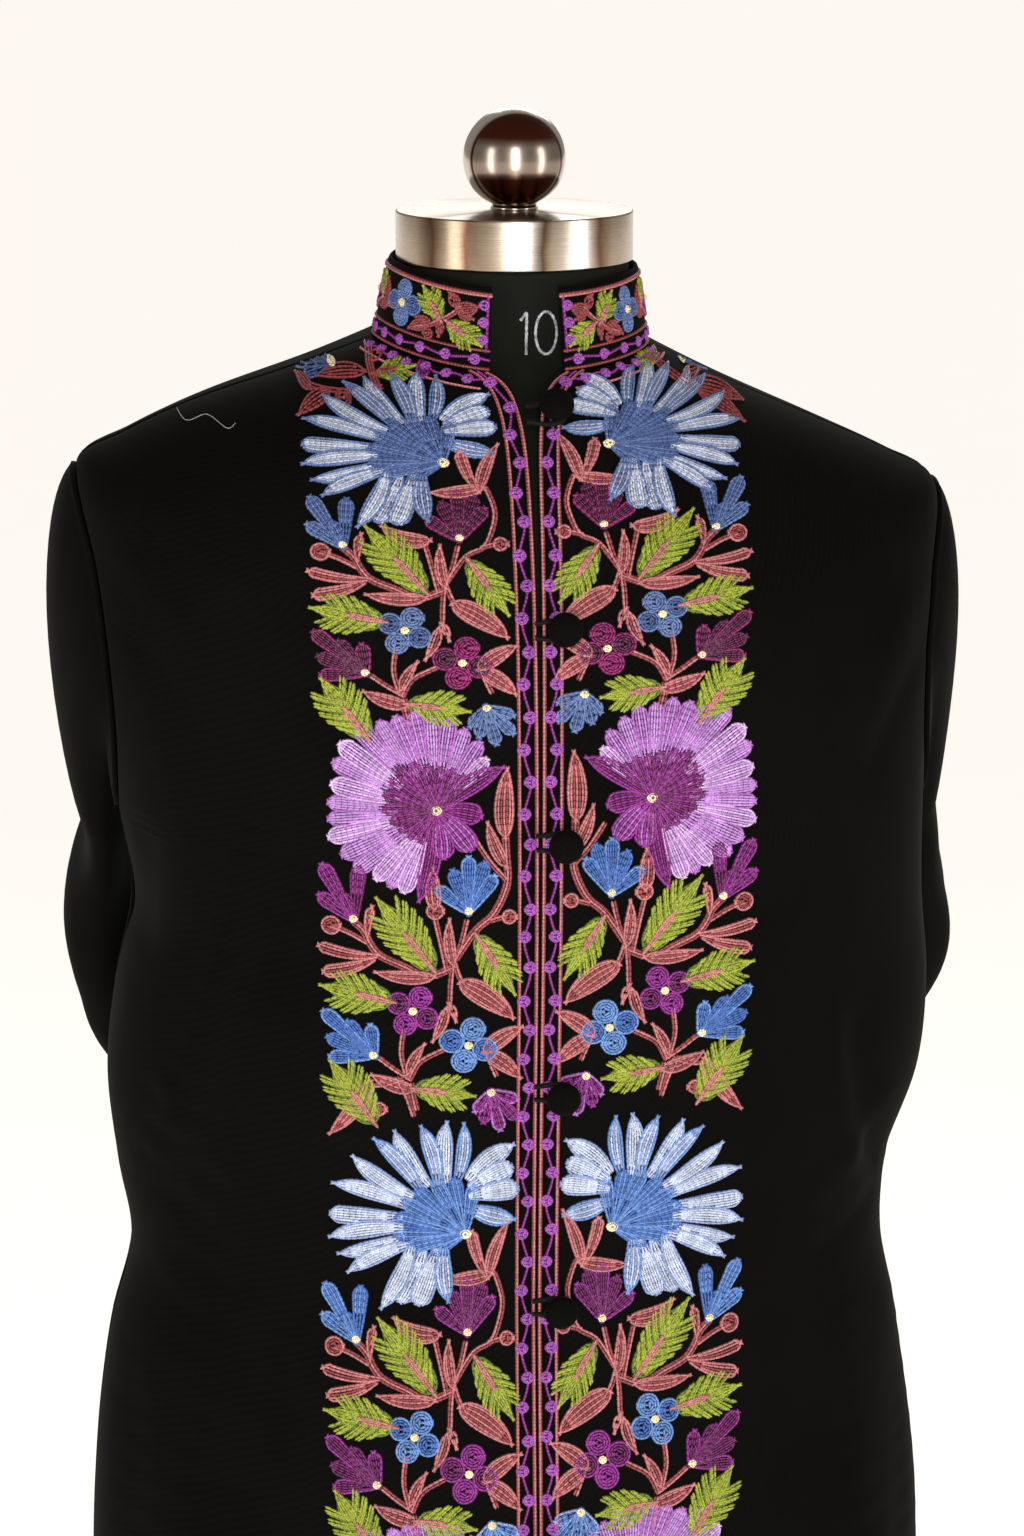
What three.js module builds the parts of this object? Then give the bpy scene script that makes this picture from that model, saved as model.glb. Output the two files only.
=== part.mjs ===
// An embroidered jacket with a stand collar, worn by a limbless dress form on a pole and round base.
// Millimetres, +Z up, the jacket's front facing -Y; the origin is the centre of the base's underside.
// "Right" and "left" are the wearer's: right is -X and left is +X.
import * as THREE from "three";

// Cloth
const WALL = 2; // cloth with its interlining and embroidery backing
const SEAM = 0.3; // between two sewn edges
const REST = 0.6; // between the shoulders of the form and the cloth on them
const EASE = 8; // between the form and the cloth away from the shoulders
const SLEEVE_CLEAR = 2.2; // between a sleeve and the body it lies behind
const FRONT_COLUMNS = 13;
const BACK_COLUMNS = 19;
const SHOULDER_ROWS = [0, 0.22, 0.5, 0.9, 1.5, 2.1, 2.7, 3.35]; // rows of the body above the armholes
const ARMHOLE_STEPS = 10; // rows of the body between the shoulder tip and the underarm

// The body's rings, from the neckline to the hem. right, left, front and back are the reach from the
// axis, zRight to zBack the heights there, and round the exponent of the ring's superellipse.
const BODY_COLUMNS = ["right", "left", "front", "back", "zRight", "zLeft", "zFront", "zBack", "round"];
const BODY = named(BODY_COLUMNS, [
  [69, 65, 73, 63, 1348, 1344, 1338, 1362, 2.0],
  [108, 106, 98, 84, 1334, 1324, 1308, 1344, 2.0],
  [154, 152, 116, 103, 1319, 1304, 1278, 1320, 2.05],
  [190, 187, 127, 114, 1303, 1288, 1252, 1294, 2.1],
  [214, 207, 134, 121, 1288, 1275, 1226, 1264, 2.17],
  [213, 208, 138, 125, 1249, 1240, 1198, 1230, 2.32],
  [209, 206, 140, 126, 1204, 1200, 1171, 1192, 2.45],
  [203, 204, 141, 124, 1160, 1158, 1144, 1153, 2.5],
  [197, 203, 141, 122, 1116, 1116, 1116, 1116, 2.5],
  [192, 204, 139, 118, 1071, 1071, 1071, 1071, 2.45],
  [201, 208, 135, 113, 1026, 1026, 1026, 1026, 2.4],
  [206, 205, 130, 107, 981, 981, 981, 981, 2.35],
  [202, 191, 126, 102, 936, 936, 936, 936, 2.3],
  [196, 188, 124, 101, 891, 891, 891, 891, 2.3],
  [207, 197, 127, 106, 846, 846, 846, 846, 2.3],
  [214, 204, 132, 115, 801, 801, 801, 801, 2.3],
  [218, 209, 137, 123, 756, 756, 756, 756, 2.3],
  [220, 211, 141, 129, 711, 711, 711, 711, 2.3],
  [222, 213, 144, 133, 667, 667, 667, 667, 2.3],
  [225, 216, 147, 137, 626, 626, 626, 626, 2.3],
  [228, 219, 149, 140, 586, 586, 586, 586, 2.3],
]);
const SHOULDER_TIP = 4; // rows of BODY
const UNDERARM = 8;
const HEM = BODY.length - 1;

// How far an armhole's edges stand from the side line, as a share of the quarter ring, half way down.
const ARMHOLE_FRONT = 0.2;
const ARMHOLE_BACK = 0.26;

// The fronts' edges: wide apart under the collar, then closing to a narrow gap.
const GAP_BELOW = 1; // half the gap at the hem
const GAP_CHEST = 2.4; // added to it at the top, fading over GAP_CHEST_ROWS
const GAP_CHEST_ROWS = 3.2;
const GAP_NECK = 15.2; // added to it under the collar, fading over GAP_NECK_ROWS
const GAP_NECK_ROWS = 0.32;

// Folds and creases: a soft ridge (height above 0) or trough through three points, seen from the front
// or the back as x and z.
const FOLD_COLUMNS = ["face", "x1", "z1", "x2", "z2", "x3", "z3", "width", "height"];
const FOLDS = named(FOLD_COLUMNS, [
  ["front", -132, 1150, -140, 1060, -190, 930, 11, 4.5],
  ["front", -118, 1140, -122, 1050, -168, 920, 13, -3.5],
  ["front", -184, 1130, -184, 1090, -190, 1050, 8, -3],
  ["front", 156, 1040, 160, 985, 182, 925, 9, -4],
  ["front", 142, 1050, 146, 985, 168, 915, 10, 3.5],
  ["front", -190, 1262, -168, 1230, -140, 1196, 12, 2.5],
  ["front", 190, 1240, 168, 1205, 150, 1160, 12, 2.5],
  ["front", -150, 900, -172, 820, -176, 600, 15, 3.5],
  ["front", 146, 900, 166, 820, 172, 600, 15, 3.5],
  ["back", -40, 1180, -64, 1050, -58, 900, 14, 3.5],
  ["back", 44, 1180, 62, 1050, 52, 900, 14, 3.5],
  ["back", -110, 900, -128, 780, -136, 590, 18, 5],
  ["back", 0, 880, 4, 760, 0, 590, 18, 5],
  ["back", 108, 900, 126, 780, 134, 590, 18, 5],
]);
const FOLD_STEPS = 10; // places along a fold where its distance is measured
const FOLD_FADE = 0.3; // share of a fold's length over which it dies away
const FOLD_END = 0.15; // how far along that fade a fold's very end is

// A sleeve's sections from the armhole, swung back behind the body, to the cuff near the centre back.
// outRight and outLeft are each side's distance from the middle; long and flat are half sizes, and
// facing the way the flat side looks, in degrees from straight out (0) to straight back (90).
const SLEEVE_COLUMNS = ["outRight", "outLeft", "y", "z", "long", "flat", "facing"];
const SLEEVE = named(SLEEVE_COLUMNS, [
  [220, 205, 24, 1202, 74, 22, 0],
  [205, 199, 48, 1158, 71, 17, 4],
  [198, 206, 80, 1112, 68, 13, 10],
  [197, 204, 112, 1064, 64, 22, 22],
  [178, 196, 136, 1012, 61, 25, 45],
  [158, 165, 146, 974, 60, 25, 66],
  [118, 121, 143, 947, 55, 24, 80],
  [77, 78, 133, 922, 50, 22, 88],
  [36, 36, 128, 895, 47, 21, 90],
]);
const SLEEVE_ROWS = 20;
const SLEEVE_CROWDING = 1.15; // above 1, the rows stand closer together near the armhole
const SLEEVE_HEAD = 1.5; // rows of SLEEVE over which it leaves the armhole's own outline
const SLEEVE_PUFF = 9; // how far the sleeve head stands out beyond a straight run
const SLEEVE_ROUND = 2.5;

// The stand collar's top edge, worn open in front over the neckline's own gap.
const COLLAR_TOP = { right: 61, left: 60, front: 62, back: 64, zRight: 1386, zLeft: 1382, zFront: 1377,
  zBack: 1393, round: 2 };
const COLLAR_ROWS = 4;
const COLLAR_COLUMNS = 30;

// Buttons on the left front, each held by a cord loop from the right front.
const BUTTON_HEIGHTS = [1321, 1228, 1129, 1004, 892, 768];
const BUTTON_X = 11;
const BUTTON_RADIUS = 8.2;
const DOME_HEIGHT = 5.6; // half the ball's own height
const DOME_DEGREES = [-55, -15, 25, 60]; // heights of the ball's rings, up from its widest
const BUTTON_SIDES = 12;
const SHANK_RADIUS = 3;
const SHANK_HEIGHT = 3.4;
const CORD_RADIUS = 1.25;
const SEAT = 0.5; // between a front and the buttons and cords on it
const LOOP_START = -7;
const LOOP_HALF = 3.4;
const LOOP_TURN = SHANK_RADIUS + SEAM + CORD_RADIUS;
const LOOP_DIAGONAL = 0.75; // the loop's shape round the shank, in shares of LOOP_TURN
const LOOP_TIP = 1.06;
const LOOP_STEPS = 12;

// Dress form and stand
const NECK_RADIUS = 55.5;
const NECK_TOP = 1384;
const NECK_EDGE = 1.5; // the neck's rounded top edge
const NECK_FLARE = 3; // how far the neck's foot spreads into the shoulders
const CAP_RADIUS = 57.5;
const CAP_TOP = 1408.5;
const CAP_EDGE = 1.2;
const CAP_SIDES = 48;
const BALL_RADIUS = 24.8;
const BALL_CENTRE = 1432.8;
const BALL_RINGS = 11;
const STEM_RADIUS = 10;
const ROUND_SIDES = 20; // round the ball and the pole
const FORM_END = 18.2; // row of BODY where the form stops, inside the hem
const FORM_BOTTOM = 648;
const REST_START = -0.16; // row of BODY where the form comes out to the cloth
const REST_RISE = 0.8; // rows over which it does
const REST_END = SHOULDER_TIP - 1; // row where it begins to draw back
const REST_FALL = 1.2; // rows over which it does
const REST_FROM_MIDDLE = 0.2; // share of a quarter where the cloth begins to rest on the form
const REST_BLEND = 0.3; // share of a quarter over which it comes to rest
const FORM_TURN = [[0.985, 3], [0.96, 0]]; // rings turning under at the bottom: share of the width, height
const POLE_RADIUS = 13;
const COLLET_RADIUS = 30;
const COLLET_HEIGHT = 16;
const EDGE = 2; // the base's eased edges
const BASE_RADIUS = 190;
const BASE_EDGE = 10;
const HUB_RADIUS = 27;
const HUB_TOP = 46;
const HUB_FLARE = 14; // how far the hub's foot spreads on the base
const BASE_RISE = 8; // how much higher the base is at the hub's foot than at its rim
const BASE_SIDES = 36;

const CLOTH = new THREE.MeshStandardMaterial({ color: 0x17151a, roughness: 0.85, metalness: 0 });
const CORD = new THREE.MeshStandardMaterial({ color: 0x0e0d10, roughness: 0.7, metalness: 0 });
const JERSEY = new THREE.MeshStandardMaterial({ color: 0x1d1c1f, roughness: 0.9, metalness: 0 });
const STEEL = new THREE.MeshStandardMaterial({ color: 0xb9bab8, roughness: 0.3, metalness: 1 });
const POLISHED = new THREE.MeshStandardMaterial({ color: 0xcfcfcd, roughness: 0.08, metalness: 1 });
const PAINTED = new THREE.MeshStandardMaterial({ color: 0x2a2a2c, roughness: 0.5, metalness: 0.4 });

function named(columns, rows) {
  return rows.map((row) => Object.fromEntries(columns.map((name, i) => [name, row[i]])));
}

const clamp = THREE.MathUtils.clamp;
const lerp = THREE.MathUtils.lerp;
const HALVINGS = 30; // steps of each search by halves
const NEAR_ACROSS = 0.01; // how far apart, in u and in v, points stand for a normal
const NEAR_DOWN = 0.05;
const smooth = (t) => THREE.MathUtils.smoothstep(t, 0, 1);
const vector = (x, y, z) => new THREE.Vector3(x, y, z);

// A column of a table read at a fractional row, on a curve through its rows.
function read(table, column, row) {
  const last = table.length - 1;
  const i = clamp(Math.floor(row), 0, last - 1);
  const t = row - i;
  const [a, b, c, d] = [i - 1, i, i + 1, i + 2].map((k) => table[clamp(k, 0, last)][column]);
  const linear = c - a;
  const square = 2 * a - 5 * b + 4 * c - d;
  const cube = 3 * b - a - 3 * c + d;
  return b + 0.5 * t * (linear + t * (square + t * cube));
}

// Around the body, u runs 0 centre front, 1 left side, 2 centre back, 3 right side, 4 centre front.
function quarterOf(u) {
  const turn = ((u % 4) + 4) % 4;
  const quarter = Math.floor(turn);
  const share = quarter % 2 === 0 ? turn - quarter : 1 - (turn - quarter);
  return { left: quarter < 2, front: quarter === 0 || quarter === 3, toSide: share };
}

// A quarter of the ring at a row: its reach to the side and to the front or back, and its heights.
function quarterRing(ring, left, front) {
  return {
    side: ring(left ? "left" : "right"),
    middle: ring(front ? "front" : "back"),
    zSide: ring(left ? "zLeft" : "zRight"),
    zMiddle: ring(front ? "zFront" : "zBack"),
    round: ring("round"),
    signX: left ? 1 : -1,
    signY: front ? -1 : 1,
  };
}

// The point of a quarter ring at an angle from its middle line (0) to its side line (a quarter turn).
function pointAt(quarter, angle) {
  const across = Math.sin(angle);
  const out = Math.cos(angle);
  const sum = (across / quarter.side) ** quarter.round + (out / quarter.middle) ** quarter.round;
  const radius = sum ** (-1 / quarter.round);
  const depth = (radius * out) / quarter.middle;
  return vector(
    quarter.signX * radius * across,
    quarter.signY * radius * out,
    lerp(quarter.zSide, quarter.zMiddle, depth * depth),
  );
}

// The lengths along a quarter ring, at even angles.
const ARC_STEPS = 40;
function arcLengths(quarter) {
  const lengths = [0];
  let before = pointAt(quarter, 0);
  for (let i = 1; i <= ARC_STEPS; i++) {
    const point = pointAt(quarter, (i / ARC_STEPS) * (Math.PI / 2));
    lengths.push(lengths[i - 1] + point.distanceTo(before));
    before = point;
  }
  return lengths;
}

// The point a share of the way along a quarter ring, measured on its length.
function pointAlong(quarter, share) {
  const lengths = arcLengths(quarter);
  const target = clamp(share, 0, 1) * lengths[ARC_STEPS];
  const i = clamp(lengths.findIndex((length) => length >= target) - 1, 0, ARC_STEPS - 1);
  const part = (target - lengths[i]) / (lengths[i + 1] - lengths[i]);
  return pointAt(quarter, ((i + part) / ARC_STEPS) * (Math.PI / 2));
}

const bodyRing = (v) => (column) => read(BODY, column, v);

// The jacket's outer surface before its folds.
function skin(u, v) {
  const { left, front, toSide } = quarterOf(u);
  return pointAlong(quarterRing(bodyRing(v), left, front), toSide);
}

function quarterLength(v, left, front) {
  return arcLengths(quarterRing(bodyRing(v), left, front))[ARC_STEPS];
}

// The outward normal of a surface(u, v).
function normalOf(surface, u, v, rows) {
  const across = surface(u + NEAR_ACROSS, v).sub(surface(u - NEAR_ACROSS, v));
  const below = surface(u, Math.min(v + NEAR_DOWN, rows));
  const down = below.sub(surface(u, Math.max(v - NEAR_DOWN, 0)));
  return down.cross(across).normalize();
}

// How far the folds lift the cloth at x and z of one face.
function relief(face, x, z) {
  let lift = 0;
  for (const fold of FOLDS.filter((row) => row.face === face)) {
    let nearest = Infinity;
    let along = 0;
    for (let i = 0; i <= FOLD_STEPS; i++) {
      const t = i / FOLD_STEPS;
      const [a, b, c] = [(1 - t) ** 2, 2 * t * (1 - t), t ** 2];
      const away = Math.hypot(
        x - (a * fold.x1 + b * fold.x2 + c * fold.x3),
        z - (a * fold.z1 + b * fold.z2 + c * fold.z3),
      );
      if (away < nearest) {
        nearest = away;
        along = t;
      }
    }
    const fade = smooth(Math.min(along, 1 - along) / FOLD_FADE + FOLD_END);
    lift += fold.height * fade * Math.exp(-((nearest / fold.width) ** 2));
  }
  return lift;
}

// The body's cloth at (u, v): its outer point, its inner point and its normal.
function cloth(u, v) {
  const base = skin(u, v);
  const normal = normalOf(skin, u, v, HEM);
  const face = quarterOf(u).front ? "front" : "back";
  const outer = base.clone().addScaledVector(normal, relief(face, base.x, base.z));
  return { outer, inner: outer.clone().addScaledVector(normal, -WALL), normal };
}

// One closed wall between two grids of points, rows by columns. A tube's last column joins its first.
function wallGeometry(outer, inner, tube = false) {
  const rows = outer.length;
  const columns = outer[0].length;
  const spans = tube ? columns : columns - 1;
  const at = (side, row, column) => (side * rows + row) * columns + (column % columns);
  const index = [];
  const quad = (a, b, c, d) => index.push(a, b, c, a, c, d);
  for (let c = 0; c < spans; c++) {
    for (let r = 0; r < rows - 1; r++) {
      quad(at(0, r, c), at(0, r + 1, c), at(0, r + 1, c + 1), at(0, r, c + 1));
      quad(at(1, r, c), at(1, r, c + 1), at(1, r + 1, c + 1), at(1, r + 1, c));
    }
    quad(at(0, 0, c), at(0, 0, c + 1), at(1, 0, c + 1), at(1, 0, c));
    quad(at(0, rows - 1, c + 1), at(0, rows - 1, c), at(1, rows - 1, c), at(1, rows - 1, c + 1));
  }
  if (!tube) {
    const end = columns - 1;
    for (let r = 0; r < rows - 1; r++) {
      quad(at(0, r + 1, 0), at(0, r, 0), at(1, r, 0), at(1, r + 1, 0));
      quad(at(0, r, end), at(0, r + 1, end), at(1, r + 1, end), at(1, r, end));
    }
  }
  return facingOut([...outer.flat(), ...inner.flat()], index);
}

// A closed solid through rings of points, with each end closed to the ring's middle.
function solidGeometry(rings) {
  const columns = rings[0].length;
  const points = rings.flat();
  const index = [];
  for (let r = 0; r < rings.length - 1; r++) {
    for (let c = 0; c < columns; c++) {
      const [a, b] = [r * columns + c, r * columns + ((c + 1) % columns)];
      index.push(a, a + columns, b + columns, a, b + columns, b);
    }
  }
  for (const [ring, turn] of [[0, 1], [rings.length - 1, -1]]) {
    const middle = points.length;
    points.push(rings[ring].reduce((sum, p) => sum.add(p), vector(0, 0, 0)).divideScalar(columns));
    for (let c = 0; c < columns; c++) {
      const pair = [ring * columns + c, ring * columns + ((c + 1) % columns)];
      index.push(middle, ...(turn > 0 ? pair : pair.reverse()));
    }
  }
  return facingOut(points, index);
}

// A geometry from points and triangles, turned so that its volume is positive.
function facingOut(points, index) {
  let volume = 0;
  for (let i = 0; i < index.length; i += 3) {
    const [a, b, c] = [points[index[i]], points[index[i + 1]], points[index[i + 2]]];
    volume += a.dot(b.clone().cross(c));
  }
  const geometry = new THREE.BufferGeometry().setFromPoints(points);
  geometry.setIndex(volume > 0 ? index : index.reverse());
  geometry.computeVertexNormals();
  return geometry;
}

// The rows of the body's pieces: the shoulders, the armhole's own steps, and the rest to the hem.
function bodyRows() {
  const rows = [...SHOULDER_ROWS];
  for (let k = 0; k <= ARMHOLE_STEPS; k++) rows.push(armholeRow(k));
  for (let v = UNDERARM + 1; v < HEM; v += 1) rows.push(v);
  return [...rows, HEM];
}

// The row of BODY at a step down the armhole, close together at its ends.
function armholeRow(step) {
  const middle = (SHOULDER_TIP + UNDERARM) / 2;
  return middle - ((UNDERARM - SHOULDER_TIP) / 2) * Math.cos((Math.PI * step) / ARMHOLE_STEPS);
}

// How far a panel's side edge stands back from the side line, as a share of its quarter ring.
function sideSetback(v, left, front) {
  const seam = SEAM / 2 / quarterLength(v, left, front);
  const middle = (SHOULDER_TIP + UNDERARM) / 2;
  const down = clamp((v - middle) / (middle - SHOULDER_TIP), -1, 1);
  const reach = front ? ARMHOLE_FRONT : ARMHOLE_BACK;
  return Math.max(seam, reach * Math.sqrt(1 - down * down));
}

function frontGap(v) {
  return GAP_BELOW + GAP_CHEST * Math.exp(-v / GAP_CHEST_ROWS) + GAP_NECK * Math.exp(-v / GAP_NECK_ROWS);
}

// A panel of the body between two edges, each a function of the row.
function panel(startAt, endAt, columns) {
  const grid = bodyRows().map((v) =>
    Array.from({ length: columns + 1 }, (_, c) => cloth(lerp(startAt(v), endAt(v), c / columns), v)),
  );
  return wallGeometry(grid.map((row) => row.map((p) => p.outer)), grid.map((row) => row.map((p) => p.inner)));
}

function frontPanel(left) {
  const middle = (v) => frontGap(v) / quarterLength(v, left, true);
  const side = (v) => 1 - sideSetback(v, left, true);
  return left
    ? panel(middle, side, FRONT_COLUMNS)
    : panel((v) => 4 - side(v), (v) => 4 - middle(v), FRONT_COLUMNS);
}

function backPanel() {
  return panel((v) => 1 + sideSetback(v, true, false), (v) => 3 - sideSetback(v, false, false), BACK_COLUMNS);
}

// The armhole's outline on the body, from the shoulder tip down its back edge and up its front edge,
// set in by a seam's width.
function armholeLoop(left) {
  const sideLine = left ? 1 : 3;
  const away = left ? 1 : -1;
  const edge = (step, front) => {
    const v = armholeRow(step);
    const setback = sideSetback(v, left, front);
    return cloth(sideLine + (front ? -away : away) * setback, v);
  };
  const steps = Array.from({ length: ARMHOLE_STEPS }, (_, k) => k);
  const loop = [
    ...steps.map((k) => edge(k, false)),
    ...steps.map((k) => edge(ARMHOLE_STEPS - k, true)),
  ];
  const middle = loop.reduce((sum, p) => sum.add(p.outer), vector(0, 0, 0)).divideScalar(loop.length);
  return loop.map(({ outer, normal }) => {
    const inward = middle.clone().sub(outer);
    inward.addScaledVector(normal, -inward.dot(normal)).normalize();
    return outer.clone().addScaledVector(inward, SEAM);
  });
}

// The sleeve's section at a row of its table, as points that start on the outer side and go by the back.
function sleeveSection(left, row, columns) {
  const sign = left ? 1 : -1;
  const out = left ? "outLeft" : "outRight";
  const centreAt = (t) => vector(sign * read(SLEEVE, out, t), read(SLEEVE, "y", t), read(SLEEVE, "z", t));
  const last = SLEEVE.length - 1;
  const centre = centreAt(row);
  const run = centreAt(Math.min(row + 0.1, last)).sub(centreAt(Math.max(row - 0.1, 0))).normalize();
  const facing = THREE.MathUtils.degToRad(read(SLEEVE, "facing", row));
  const flatWay = vector(sign * Math.cos(facing), Math.sin(facing), 0);
  flatWay.addScaledVector(run, -flatWay.dot(run)).normalize();
  const longWay = run.clone().cross(flatWay).normalize();
  if (longWay.z < 0) longWay.negate();
  const power = 2 / SLEEVE_ROUND;
  return Array.from({ length: columns }, (_, k) => {
    const turn = (2 * Math.PI * k) / columns;
    const part = (value) => Math.sign(value) * Math.abs(value) ** power;
    return centre
      .clone()
      .addScaledVector(flatWay, read(SLEEVE, "flat", row) * part(Math.cos(turn)))
      .addScaledVector(longWay, read(SLEEVE, "long", row) * part(Math.sin(turn)));
  });
}

// A point moved straight out from the axis until it is clear of the body's cloth.
function clearOfBody(point) {
  const front = point.y < 0;
  const left = point.x > 0;
  const angle = Math.atan2(Math.abs(point.x), Math.abs(point.y));
  const bodyAt = (v) => pointAt(quarterRing(bodyRing(v), left, front), angle);
  let [above, below] = [0, HEM];
  for (let i = 0; i < HALVINGS; i++) {
    const v = (above + below) / 2;
    if (bodyAt(v).z > point.z) above = v;
    else below = v;
  }
  const body = bodyAt(above);
  const reach = Math.hypot(body.x, body.y) + relief(front ? "front" : "back", body.x, body.z) + SLEEVE_CLEAR;
  const distance = Math.hypot(point.x, point.y);
  if (distance >= reach) return point;
  return vector((point.x * reach) / distance, (point.y * reach) / distance, point.z);
}

function sleeve(left) {
  const loop = armholeLoop(left);
  const last = SLEEVE.length - 1;
  const outer = [loop];
  for (let r = 1; r < SLEEVE_ROWS; r++) {
    const row = last * (r / (SLEEVE_ROWS - 1)) ** SLEEVE_CROWDING;
    const blend = smooth(clamp(row / SLEEVE_HEAD, 0, 1));
    const puff = SLEEVE_PUFF * Math.sin(Math.PI * clamp(row / SLEEVE_HEAD, 0, 1));
    const section = sleeveSection(left, row, loop.length);
    outer.push(
      section.map((point, k) => {
        const mixed = loop[k].clone().lerp(point, blend);
        const high = 0.5 + 0.5 * Math.cos((2 * Math.PI * k) / loop.length);
        mixed.x += (left ? 1 : -1) * puff * high;
        return clearOfBody(mixed);
      }),
    );
  }
  return wallGeometry(outer, insetTube(outer, WALL), true);
}

// A tube's inner grid: each point moved in along the mean normal of its neighbours.
function insetTube(grid, depth) {
  const columns = grid[0].length;
  const middleOf = (row) => row.reduce((sum, p) => sum.add(p), vector(0, 0, 0)).divideScalar(columns);
  return grid.map((row, r) => {
    const before = grid[Math.max(r - 1, 0)];
    const after = grid[Math.min(r + 1, grid.length - 1)];
    const middle = middleOf(row);
    return row.map((point, k) => {
      const across = row[(k + 1) % columns].clone().sub(row[(k + columns - 1) % columns]);
      const normal = after[k].clone().sub(before[k]).cross(across).normalize();
      if (normal.dot(point.clone().sub(middle)) < 0) normal.negate();
      return point.clone().addScaledVector(normal, -depth);
    });
  });
}

function collar() {
  const opening = (left) => frontGap(0) / quarterLength(0, left, true);
  const top = (column) => COLLAR_TOP[column];
  const surface = (u, t) => {
    const { left, front, toSide } = quarterOf(u);
    const low = pointAlong(quarterRing(bodyRing(0), left, front), toSide);
    low.z += SEAM;
    return low.lerp(pointAlong(quarterRing(top, left, front), toSide), t);
  };
  const outer = [];
  const inner = [];
  for (let r = 0; r < COLLAR_ROWS; r++) {
    const t = 1 - r / (COLLAR_ROWS - 1);
    const points = Array.from({ length: COLLAR_COLUMNS + 1 }, (_, c) => {
      const u = lerp(opening(true), 4 - opening(false), c / COLLAR_COLUMNS);
      return { point: surface(u, t), level: surface(u + NEAR_ACROSS, t).sub(surface(u - NEAR_ACROSS, t)) };
    });
    outer.push(points.map(({ point }) => point));
    inner.push(points.map(({ point, level }) => {
      const normal = vector(level.y, -level.x, 0).normalize();
      return point.clone().addScaledVector(normal, -WALL);
    }));
  }
  return wallGeometry(outer, inner);
}

// The outer point and normal of a front near the centre line, at x and z.
function onFront(x, z) {
  const left = x > 0;
  let [above, below] = [0, HEM];
  for (let i = 0; i < HALVINGS; i++) {
    const v = (above + below) / 2;
    if (read(BODY, "zFront", v) > z) above = v;
    else below = v;
  }
  const share = Math.abs(x) / quarterLength(above, left, true);
  return cloth(left ? share : 4 - share, above);
}

// A fabric-covered button: a flattened ball on a short shank.
function button() {
  const profile = [vector(0, 0, 0), vector(SHANK_RADIUS, 0, 0), vector(SHANK_RADIUS, SHANK_HEIGHT, 0)];
  for (const degrees of DOME_DEGREES) {
    const angle = THREE.MathUtils.degToRad(degrees);
    const height = SHANK_HEIGHT + DOME_HEIGHT * (1 + Math.sin(angle));
    profile.push(vector(BUTTON_RADIUS * Math.cos(angle), height, 0));
  }
  profile.push(vector(0, SHANK_HEIGHT + 2 * DOME_HEIGHT, 0));
  return new THREE.LatheGeometry(profile, BUTTON_SIDES);
}

function placeButton(mesh, z) {
  const { outer, normal } = onFront(BUTTON_X, z);
  mesh.position.copy(outer.addScaledVector(normal, SEAT));
  mesh.quaternion.setFromUnitVectors(vector(0, 1, 0), normal);
}

// A cord from the right front, across the gap, round the button's shank and back.
function buttonLoop(z) {
  const beside = BUTTON_X - SHANK_RADIUS;
  const diagonal = LOOP_TURN * LOOP_DIAGONAL;
  const flat = [
    [LOOP_START, LOOP_HALF],
    [0, LOOP_HALF],
    [beside, LOOP_TURN],
    [BUTTON_X + diagonal, diagonal],
    [BUTTON_X + LOOP_TURN * LOOP_TIP, 0],
    [BUTTON_X + diagonal, -diagonal],
    [beside, -LOOP_TURN],
    [0, -LOOP_HALF],
    [LOOP_START, -LOOP_HALF],
  ];
  const lift = CORD_RADIUS + SEAT;
  const route = flat.map(([x, dz]) => {
    const { outer, normal } = onFront(x === 0 ? 0.01 : x, z + dz);
    return outer.addScaledVector(normal, lift);
  });
  const section = new THREE.Shape();
  section.absarc(0, 0, CORD_RADIUS, 0, 2 * Math.PI, false);
  return new THREE.ExtrudeGeometry(section, {
    steps: LOOP_STEPS,
    curveSegments: 3,
    bevelEnabled: false,
    extrudePath: new THREE.CatmullRomCurve3(route),
  });
}

// How far inside the cloth's inner face the form lies: close on the shoulders, easy elsewhere.
function formEase(u, v) {
  const { toSide } = quarterOf(u);
  const belowNeck = smooth((v - REST_START) / REST_RISE);
  const aboveTip = 1 - smooth((v - REST_END) / REST_FALL);
  const onShoulder = smooth((toSide - REST_FROM_MIDDLE) / REST_BLEND) * belowNeck * aboveTip;
  return lerp(EASE, REST, onShoulder);
}

// The form's torso and neck: the jacket's own surface moved in, closed below, with a round neck.
function formBody() {
  const around = [];
  for (let c = 0; c < FRONT_COLUMNS; c++) around.push(c / FRONT_COLUMNS);
  for (let c = 0; c < BACK_COLUMNS; c++) around.push(1 + (2 * c) / BACK_COLUMNS);
  for (let c = 0; c < FRONT_COLUMNS; c++) around.push(3 + c / FRONT_COLUMNS);
  const neckRing = (radius, z) =>
    around.map((u) => {
      const at = skin(u, 0);
      const reach = Math.hypot(at.x, at.y);
      return vector((at.x * radius) / reach, (at.y * radius) / reach, z(at));
    });
  const rings = [
    neckRing(NECK_RADIUS - NECK_EDGE, () => NECK_TOP),
    neckRing(NECK_RADIUS, () => NECK_TOP - NECK_EDGE),
    neckRing(NECK_RADIUS, (at) => lerp(at.z, NECK_TOP, 0.5)),
    neckRing(NECK_RADIUS + NECK_FLARE, (at) => at.z + NECK_FLARE),
  ];
  for (const v of [...bodyRows().filter((row) => row < FORM_END), FORM_END]) {
    rings.push(
      around.map((u) => {
        const normal = normalOf(skin, u, v, HEM);
        return skin(u, v).addScaledVector(normal, -WALL - formEase(u, v));
      }),
    );
  }
  const last = rings[rings.length - 1];
  for (const [width, height] of FORM_TURN) {
    rings.push(last.map((p) => vector(p.x * width, p.y * width, FORM_BOTTOM + height)));
  }
  return solidGeometry(rings);
}

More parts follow.
